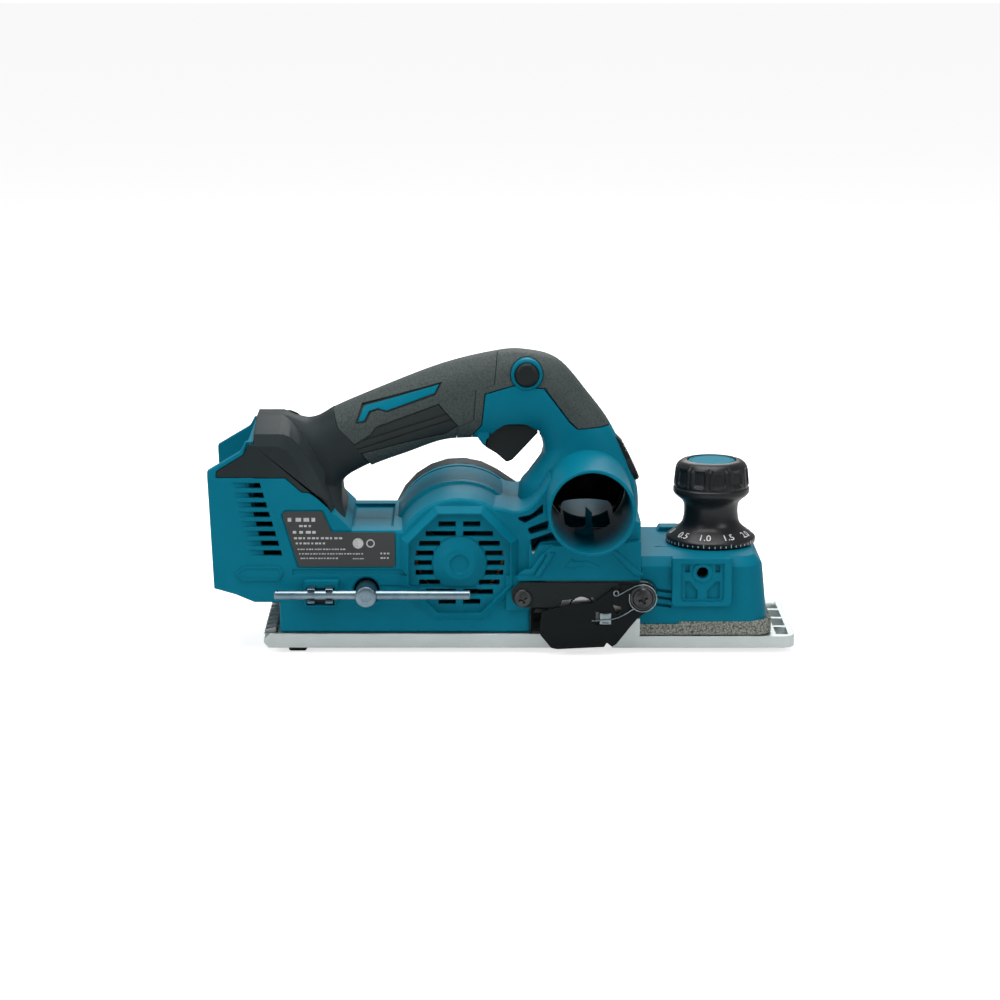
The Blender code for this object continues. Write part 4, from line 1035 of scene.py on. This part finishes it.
for vert in knob_mesh.verts:
    out = Vector((vert.co.x - KNOB[0], vert.co.y))
    turn = (math.atan2(out.y, out.x) * 11 / math.tau) % 1.0
    lobe = abs((turn - 0.5) / 0.30) ** 4 + abs((vert.co.z - 91.6) / 4.6) ** 4
    dip = 1.1 * min(1.0, max(0.0, (1.25 - lobe) / 0.5)) if out.length > 19 and vert.co.z > 86 else 0.0
    groove = 0.5 if min(turn, 1 - turn) < 0.035 and 86 < vert.co.z < 97 else 0.0
    if out.length > 19 and vert.co.z > 80:
        out *= (out.length - dip - groove) / out.length
        vert.co.x, vert.co.y = KNOB[0] + out.x, out.y
knob = solid(knob_mesh, "knob_body")
fit(knob, "knob", "knob_plastic", knob_black, "depth_knob")
cap = solid(turned([
    (0, 97.8), (13.5, 97.8), (13.5, 99.4), (13.0, 99.9), (11.8, 100.2), (11.4, 99.9), (0, 100.1),
], KNOB, (0, 0, 1)), "knob_badge")
cap_teal = moulded(
    "cap_teal", (0.002, 0.148, 0.215), (0.003, 0.158, 0.228), 0.4, 2600, 0.00001, 0.0004, 0.04,
)
fit(cap, "knob", "cap_teal", cap_teal, "knob_cap")

print_white = Recipe("print_white", Roughness=0.55)
print_white.feed("Base Color", print_white.grey_ramp(print_white.noise(900, 2), (0.2, 0.62), (0.6, 0.82)))
SCALE_ZERO = math.radians(-175)
SCALE_STEP = math.radians(36)


def on_skirt(turn, along, up, lift=0.12):
    """A point of the skirt: at an angle, moved along the print, up the cone and off it."""
    slope = math.radians(34.6)
    radius = 24.4 - up * math.cos(slope) + lift * math.sin(slope)
    angle = turn + along / 22.5
    return (
        KNOB[0] + radius * math.cos(angle), radius * math.sin(angle),
        56.8 + up * math.sin(slope) + lift * math.cos(slope),
    )


def meshed(holder):
    """The mesh of a curve or a text, whose own object is removed."""
    bpy.context.scene.collection.objects.link(holder)
    bpy.context.view_layer.update()
    graph = bpy.context.evaluated_depsgraph_get()
    mesh = bpy.data.meshes.new_from_object(holder.evaluated_get(graph))
    bpy.data.objects.remove(holder, do_unlink=True)
    return mesh


def gather(whole, piece):
    """Adds a shape to a larger one."""
    part = bpy.data.meshes.new("part")
    piece.to_mesh(part)
    piece.free()
    whole.from_mesh(part)
    bpy.data.meshes.remove(part)


numbers = bmesh.new()
for k in range(9):
    curve = bpy.data.curves.new("number", "FONT")
    curve.body = f"{k / 2:.1f}" if k else "0"
    curve.size = 6.2
    curve.extrude = 0.08
    curve.align_x = "CENTER"
    curve.resolution_u = 3
    flat = meshed(bpy.data.objects.new("number", curve))
    for vert in flat.vertices:
        vert.co = on_skirt(SCALE_ZERO + SCALE_STEP * k, vert.co.x, vert.co.y + 0.9, 0.1 + vert.co.z)
    numbers.from_mesh(flat)
for k in range(41):
    turn = SCALE_ZERO + SCALE_STEP * k / 5
    tall = 1.9 if k % 5 == 0 else 1.2
    corners = [(side * 0.22 / 25.7, up) for side, up in ((-1, 0), (1, 0), (1, tall), (-1, tall))]
    face = [(
        KNOB[0] + 25.66 * math.cos(turn + a), 25.66 * math.sin(turn + a), 53.3 + up,
    ) for a, up in corners]
    outward = Vector((math.cos(turn), math.sin(turn), 0)) * 0.14
    gather(numbers, pushed(face, tuple(outward)))
marks = solid(numbers, "scale_marks")
fit(marks, "knob", "cap_teal", print_white.material)


# --- Screws -----------------------------------------------------------------
# Black-oxide cross-head screws: raised domed heads on the side cover, flat
# ones sunk in the belt cover and in the left casing half.

black_oxide = Recipe("black_oxide", Metallic=0.85)
black_oxide.feed("Base Color", black_oxide.ramp(
    black_oxide.noise(160, 4), (0.35, (0.045, 0.047, 0.048)), (0.65, (0.075, 0.078, 0.08)),
))
black_oxide.feed("Roughness", black_oxide.noise(300, 3) * 0.25 + 0.24)
black_oxide.relief(black_oxide.noise(900, 3), 0.00002, 0.0002)
black_oxide = black_oxide.material


def screw_head(place, radius, height, way, name, washer=0.0):
    """A cross-head screw's head: a dome on a short collar, with a four-armed recess."""
    dome = [
        (0, -1.0), (radius, -1.0), (radius, height * 0.35), (radius * 0.9, height * 0.66),
        (radius * 0.62, height * 0.92), (0, height),
    ]
    if washer:
        dome = [
            (0, -1.0), (washer, -1.0), (washer, 0.3), (washer - 0.4, 0.7), (radius + 0.2, 0.7),
            (radius, 1.0), *dome[2:],
        ]
    head = turned(dome, (0, 0, 0), (0, 0, 1), 48)
    arm, reach = radius * 0.13, radius * 0.5
    made = solid(head, name)
    for turn in (0.35, 0.35 + math.pi / 2):
        slot = pushed([
            (-reach, -arm, height * 0.25), (reach, -arm, height * 0.25), (reach, arm, height * 0.25),
            (-reach, arm, height * 0.25),
        ], (0, 0, height))
        bmesh.ops.rotate(slot, cent=(0, 0, 0), matrix=Matrix.Rotation(turn, 3, "Z"), verts=slot.verts)
        cut(made, slot)
    cut(made, turned([
        (0, height * 0.2), (arm * 1.2, height * 0.25), (arm * 2.3, height * 1.2), (0, height * 1.2),
    ], (0, 0, 0), (0, 0, 1), 24))
    turn = Vector(way).to_track_quat("Z", "Y").to_matrix().to_4x4()
    made.data.transform(Matrix.Translation(place) @ turn)
    return made


fit(
    screw_head((59.6, -47.6, 29.9), 5.1, 2.6, (0, -1, 0), "plate_screw"), "body", "black_steel",
    black_oxide, "cover_screw_rear",
)
pivot = screw_head((PIVOT[0], -50.2, PIVOT[1]), 5.8, 3.0, (0, -1, 0), "pivot_screw", 7.2)
join(pivot, pin((PIVOT[0], -50.6, PIVOT[1]), (PIVOT[0], -43, PIVOT[1]), 3.6))
fit(pivot, "body", "black_steel", black_oxide, "cover_pivot_screw")
for number, (x, z) in enumerate([(-10, 49), (62, 62), (58, 12)], 1):
    fit(
        screw_head((x, 65.6, z), 3.7, 1.3, (0, 1, 0), f"belt_screw_{number}"), "body", "black_steel",
        black_oxide, f"belt_cover_screw_{number}",
    )
for number, (x, z) in enumerate(CASING_SCREWS, 1):
    fit(
        screw_head((x, 40.6, z), 3.4, 1.2, (0, 1, 0), f"casing_screw_{number}"), "body", "black_steel",
        black_oxide, f"housing_screw_{number}",
    )


# --- Side covers ------------------------------------------------------------
# Pressed steel, painted satin black. The upper plate is fixed; the lower
# cover hides the drum's end, and a wire spring swings it shut.

cover_paint = moulded(
    "cover_paint", (0.0045, 0.0065, 0.0065), (0.006, 0.0085, 0.0085), 0.5, 1300, 0.00003, 0.0004, 0.12,
)
plate_paint = moulded(
    "plate_paint", (0.011, 0.016, 0.0155), (0.014, 0.020, 0.0195), 0.5, 1300, 0.00003, 0.0004, 0.14,
)
PLATE = [
    (53.3, 24.4, 6.9), (53.3, 38.9, 6.9), (134.4, 38.9, 6.5), (134.4, 23.4, 6.5), (120, 23.4), (96, 30.0),
    (82, 28.6), (80, 24.4),
]
upper_plate = solid(prism(PLATE, -47.7, -46.2, 0.35), "upper_plate")
cut(
    upper_plate, prism([(87.6, 20), (87.6, 29.2, 1), (99.6, 30.4, 1), (101, 20)], -50, -44),
    pin((DRUM[0], -50, DRUM[1]), (DRUM[0], -40, DRUM[1]), 7.0, 48),
)
fit(upper_plate, "body", "black_steel", plate_paint, "cover_plate")
COVER = [
    (134.2, 30.5), *arc(PIVOT, 7.2, 20, 95, 6), (116.6, 38.4, 2), (112.6, 37.8), (99.8, 28.0, 2),
    (84, 26.4), (70.2, 22.3, 1.5), (69.2, 15.0, 2), (69.4, 9.2, 2), (75.7, 1.4, 1), (79.1, 0.7, 1),
    (105.6, 2.0, 0.6), (107.0, 4.6, 0.6), (109.8, 2.2, 0.6), (112.4, 3.6, 1), (119.6, 13.0), (124.0, 18.4),
    (131.4, 24.2, 3),
]
swing_cover = solid(prism(COVER, -49.9, -48.0, 0.45), "swing_cover")
cut(swing_cover, prism(
    [*arc(PIVOT, 17.2, 152, 212, 8), *arc(PIVOT, 13.4, 212, 152, 8)], -52, -44,
), block((100.6, 102.6), (-52, -44), (15.2, 22.4)))
fit(swing_cover, "side_cover", "black_steel", cover_paint, "blade_cover")
bright_zinc = milled("bright_zinc", (0.22, 0.28, 0.30), (0.40, 0.46, 0.48), 0.34, (1, 1, 1), 0.00001, 300)
tab = solid(block((102.9, 109.3), (-50.5, -49.6), (15.4, 21.8), 0.2), "spring_tab")
join(
    tab, block((104.4, 107.8), (-51.6, -50), (20.6, 21.6), 0.2),
    block((104.4, 107.8), (-51.6, -50), (15.6, 16.4), 0.2),
)
fit(tab, "side_cover", "bright_steel", bright_zinc)


def wire(points, radius, name, smooth=True):
    """A round wire along a row of points."""
    curve = bpy.data.curves.new(name, "CURVE")
    curve.dimensions = "3D"
    curve.bevel_depth = radius
    curve.bevel_resolution = 4
    curve.use_fill_caps = True
    line = curve.splines.new("NURBS" if smooth else "POLY")
    line.points.add(len(points) - 1)
    for point, place in zip(line.points, points):
        point.co = (*place, 1)
    if smooth:
        line.order_u = 3
        line.use_endpoint_u = True
    bm = bmesh.new()
    bm.from_mesh(meshed(bpy.data.objects.new(name, curve)))
    return solid(bm, name)


coil = []
for k in range(13):
    a = math.radians(112 - 26 * k)
    coil.append((PIVOT[0] + 7.9 * math.cos(a), -50.4 - 0.07 * k, PIVOT[1] + 7.9 * math.sin(a)))
upper_arm = [
    (113.2, -50.6, 33.0), (113.4, -50.6, 34.6), (111.4, -50.6, 35.0), (110.4, -50.6, 33.2),
    (111.6, -50.6, 31.6), (113.6, -50.6, 32.4), (118, -50.5, 35.0), (123, -50.4, 37.6),
]
lower_arm = [
    (121.8, -51.2, 24.6), (116.2, -51.2, 20.6), (109.9, -51.1, 18.4), (104, -51.0, 17.8),
    (98.4, -50.9, 17.6),
]
fit(
    wire([*upper_arm, *coil], 0.34, "cover_spring_wire"), "body", "bright_steel", bright_zinc,
    "cover_spring",
)
fit(wire(lower_arm, 0.34, "cover_spring_tail"), "side_cover", "bright_steel", bright_zinc)

throat = solid(block((64.1, 72.0), (-44.4, -43.4), (8.6, 39.0)), "throat_liner")
join(
    throat, block((65.0, 76.0), (-45.3, -44), (8.6, 10.2), 0.2),
    block((66.4, 74.0), (-45.6, -44), (20.8, 23.6), 0.3),
)
fit(throat, "body", "black_plastic", satin_black)


# --- Rating label -----------------------------------------------------------
# Dark printed film in a shallow recess. The print is plain bars and dots
# that stand for lines of small type.

film = moulded(
    "label_film", (0.030, 0.034, 0.034), (0.036, 0.040, 0.040), 0.42, 1500, 0.000005, 0.0002, 0.35,
)
LABEL = [
    (-75.4, 76.7, 2), (-73.8, 78.5, 1.4), (-53.0, 78.5, 1.2), (-47.8, 66.5, 0.8), (-12.3, 66.4, 1.4),
    (-12.3, 46.7, 1.4), (-66.4, 46.7, 1.8),
]
label = solid(prism(LABEL, -42.0, -41.2, 0.1), "label_plate")
fit(label, "body", "label_film", film, "rating_label")
print_grey = Recipe("print_grey", Roughness=0.5)
print_grey.feed("Base Color", print_grey.grey_ramp(print_grey.noise(700, 2), (0.3, 0.36), (0.7, 0.5)))
PRINT = [  # left end, right end, height of the line, thickness
    (-72.4, -54.6, 73.8, 2.2), (-66.0, -58.0, 70.2, 1.1), (-69.6, -55.0, 66.6, 1.5),
    (-69.0, -41.2, 63.2, 1.1), (-68.0, -50.6, 60.2, 1.0), (-67.0, -39.8, 56.8, 0.7),
    (-66.2, -29.6, 54.2, 0.7), (-65.4, -44.0, 51.6, 0.7), (-36.0, -29.4, 51.4, 0.6),
    (-20.4, -15.0, 54.4, 0.9), (-20.4, -15.0, 51.8, 0.9),
]
PRINT_FACE = -42.07
bars = bmesh.new()
for x0, x1, z, thick in PRINT:
    count = max(2, round((x1 - x0) / (thick * 2.3)))
    for k in range(count):
        wide = (x1 - x0) / count
        dash = x0 + wide * k + wide * (0.62 + 0.16 * math.sin(2.1 * k + z))
        gather(bars, block((x0 + wide * k, dash), (PRINT_FACE, -41.9), (z - thick / 2, z + thick / 2)))
for x, outer, inner in ((-33.0, 3.0, 0.0), (-26.0, 2.4, 1.7)):
    ring = [(inner, PRINT_FACE), (outer, PRINT_FACE), (outer, -41.9), (inner, -41.9), (inner, PRINT_FACE)]
    gather(bars, turned(ring, (x, 0, 60.2), steps=32))
fit(solid(bars, "label_print"), "body", "label_film", print_grey.material)


# --- Wrench and clip --------------------------------------------------------
# A zinc-plated T-wrench for the blade bolts. Its socket is pushed into a hole
# in the casing, and its bar snaps into a sprung steel clip in a teal box.

zinc = milled("zinc_plate", (0.13, 0.20, 0.26), (0.28, 0.37, 0.42), 0.32, (1, 1, 1), 0.000012, 220)
bar = solid(pin((-79.9, -52, BAR_Z), (30.2, -52, BAR_Z), 2.65, 32, 0.5), "wrench_bar")
fit(bar, "wrench", "zinc_steel", zinc, "wrench_bar")
socket_side = [(0, -58.2), (4.6, -58.2), (5.7, -57.6), (6.1, -56.6), (6.1, -30), (5.4, -29), (0, -29)]
socket = solid(turned(socket_side, SOCKET_LINE, steps=56), "wrench_socket")
cut(socket, turned([
    (0, -29.5), (0, -26), (4.4, -26), (4.4, -36), (0, -36), (0, -29.5),
], SOCKET_LINE, steps=6))
cut(socket, turned([(0, -60), (3.0, -60), (2.6, -57.7), (0, -57.5)], SOCKET_LINE, steps=32))
fit(socket, "wrench", "zinc_steel", zinc, "wrench_socket")
box = solid(prism([
    (-63.8, 24.2, 0.8), (-63.8, 39.6, 0.8), (-43.8, 39.6, 0.8), (-45.6, 24.2, 0.8),
], -45.6, -41.0, 0.6), "clip_box")
cut(box, block((-62.2, -46.4), (-50, -39), (25.2, 35.2)))
fit(box, "body", "casing_teal", teal_plastic)
well = solid(block((-62.4, -46.2), (-42.4, -40.8), (25.0, 35.4)), "clip_well")
fit(well, "body", "shroud_plastic", satin_black)
PRONG = [  # one springy arm: how far out, and how far above the bar's middle
    (-41.6, 4.4), (-48.6, 3.9), (-51.4, 3.1), (-53.0, 3.0), (-54.8, 4.2), (-55.2, 3.9), (-53.2, 2.72),
    (-51.2, 2.72), (-48.4, 3.4), (-41.6, 3.8),
]
clip = bmesh.new()
for x0, x1 in ((-61.2, -57.2), (-51.0, -47.0)):
    for sign in (-1, 1):
        line = [(x0, y, BAR_Z + sign * z) for y, z in PRONG]
        gather(clip, pushed(line, (x1 - x0, 0, 0)))
fit(solid(clip, "clip_prongs"), "body", "bright_steel", zinc, "wrench_clip")


# --- Chip duct: deflector and lever -----------------------------------------
# A glossy black bowl inside the duct sends the chips out on one side. A lever
# on the pillar's front turns it round to the other.

glossy_black = moulded(
    "glossy_black", (0.006, 0.007, 0.008), (0.008, 0.009, 0.010), 0.4, 1200, 0.00001, 0.0003, 0.08,
)
CENTRE = Vector((DUCT[0], 0, DUCT[1]))
STEPS = [math.radians(6 * k) for k in range(31)]
outside, inside = ([(radius * math.sin(a), radius * math.cos(a)) for a in STEPS] for radius in (21.9, 19.9))
bowl = solid(turned(outside, CENTRE, (0, 1, 0), 64), "deflector_bowl")
cut(bowl, turned(inside, CENTRE, (0, 1, 0), 64))
cut(
    bowl, prism([(60, 50), (140, 50), (140, 120), (60, 120)], -40, -3.0),
    prism([(82, 40), (112, 40), (112, 73.5, 3), (82, 73.5, 3)], -30, 30),
)
join(bowl, pin(CENTRE + LEVER * 19.4, CENTRE + LEVER * 27.5, 3.2))
fit(bowl, "chip_selector", "black_plastic", glossy_black, "chip_deflector")
rib = solid(prism([(95.4, 61), (95.4, 77.5), (99.0, 74.0), (99.6, 61)], -25.6, -23.0, 0.3), "duct_rib")
join(rib, pushed([
    (89.6, -29, 64.6), (99.8, -29, 67.6), (99.8, -29, 61.6), (89.6, -29, 61.6),
], (0, 6, 0), 0.2))
fit(rib, "body", "casing_teal", teal_plastic)
ACROSS = Vector((-LEVER.z, 0, LEVER.x))


def off_duct(out, along, y):
    """A point named by its distance out along the lever's axis, up the pillar's face and sideways."""
    return tuple(CENTRE + LEVER * out + ACROSS * along + Vector((0, y, 0)))


lever = solid(pushed([off_duct(a, b, -6.5) for a, b in rounded([
    (25.2, -3.0, 1), (28.6, -3.6, 2), (29.6, 6.0), (29.2, 15.0, 4), (27.2, 21.0, 1.5), (25.7, 21.0, 1),
    (25.4, 8.0), (25.2, 4.0),
])], (0, 13, 0), 0.9), "selector_lever")
join(lever, pin(CENTRE + LEVER * 24.6, CENTRE + LEVER * 29.6, 8.6, 40, 1.0))
for step in range(4):
    along = 10.0 + 3.2 * step
    cut(lever, pushed([
        off_duct(34, along, -8), off_duct(34, along + 1.2, -8), off_duct(28.8, along + 1.2, -8),
        off_duct(28.8, along, -8),
    ], (0, 16, 0)))
fit(lever, "chip_selector", "black_plastic", satin_black, "direction_lever")
bump = solid(prism([
    (119, 74.4), (124.8, 74.4, 1.0), (126.2, 76.0, 1.2), (126.2, 80.4, 1.2), (124.8, 82, 1.0), (119, 82),
], -4, 4, 0.6), "lever_stop")
fit(bump, "body", "casing_teal", teal_plastic)


# --- Drum, blades and foot --------------------------------------------------
# The cutter drum is turned from light alloy and carries two ground blades
# under bolted clamps. The sprung plastic foot keeps the drum off the bench.

turned_alloy = milled("turned_alloy", (0.42, 0.43, 0.44), (0.58, 0.59, 0.60), 0.32, (1, 30, 1), 0.00001, 80)
ground_steel = milled(
    "ground_steel", (0.42, 0.42, 0.42), (0.62, 0.62, 0.61), 0.24, (30, 1, 1), 0.000006, 90,
)
fit(refined("cutter_drum", "drum", 0.3), "drum", "drum_alloy", turned_alloy, "cutter_drum")
for letter in "ab":
    fit(
        refined(f"blade_{letter}", f"planer_blade_{letter}"), "drum", "tool_steel", ground_steel,
        f"blade_{letter}",
    )
    fit(
        refined(f"blade_clamp_{letter}", f"clamp_{letter}", 0.2), "drum", "tool_steel", turned_alloy,
        f"blade_clamp_{letter}",
    )
fit(refined("rest_foot", "foot_block", 0.5), "foot", "black_plastic", satin_black, "rest_foot")
fit(refined("belt_cover", "belt_guard", 0.8, 3), "body", "black_plastic", dark_plastic, "belt_cover")
fit(
    refined("terminal_block", "battery_terminals", 0.4), "body", "shroud_plastic", satin_black,
    "terminal_block",
)
contacts = bmesh.new()
for y in (-8, -3, 3, 8):
    gather(contacts, block((-104.5, -92), (y - 0.4, y + 0.4), (62, 76), 0.15))
fit(solid(contacts, "terminal_blades"), "body", "bright_steel", ground_steel)


# --- Inner parts ------------------------------------------------------------
# What shows through the grille or with the covers off: the motor, its fan and
# bearings, the pulleys, the ribbed belt, the electronics and the depth screw.

shoe_spring = refined("depth_spring", "shoe_spring")
fit(shoe_spring, "body", "bright_steel", bright_zinc, "depth_spring")
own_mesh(shoe_spring)
copper = milled("winding_copper", (0.48, 0.17, 0.07), (0.72, 0.32, 0.15), 0.38, (1, 1, 1), 0.0001, 420)
dark_steel = milled("dark_steel", (0.10, 0.10, 0.105), (0.17, 0.17, 0.175), 0.4, (1, 20, 1), 0.00002, 90)
rubber = moulded(
    "belt_rubber", (0.010, 0.010, 0.010), (0.016, 0.016, 0.016), 0.7, 900, 0.00005, 0.0003, 0.3,
)
INNER = {
    "drive_belt": rubber, "stator": copper, "rotor": dark_steel, "motor_pulley": dark_steel,
    "drum_pulley": dark_steel, "cooling_fan": satin_black, "controller": satin_black,
    "switch_body": satin_black, "depth_screw": bright_zinc, "foot_pin": ground_steel,
}
for side in ("right", "left"):
    INNER[f"drum_bearing_{side}"] = ground_steel
    INNER[f"motor_bearing_{side}"] = ground_steel
for letter in "ab":
    for number in (1, 2, 3):
        INNER[f"blade_bolt_{letter}{number}"] = dark_steel
for node, finish in INNER.items():
    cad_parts[node].material_slots[0].material = finish
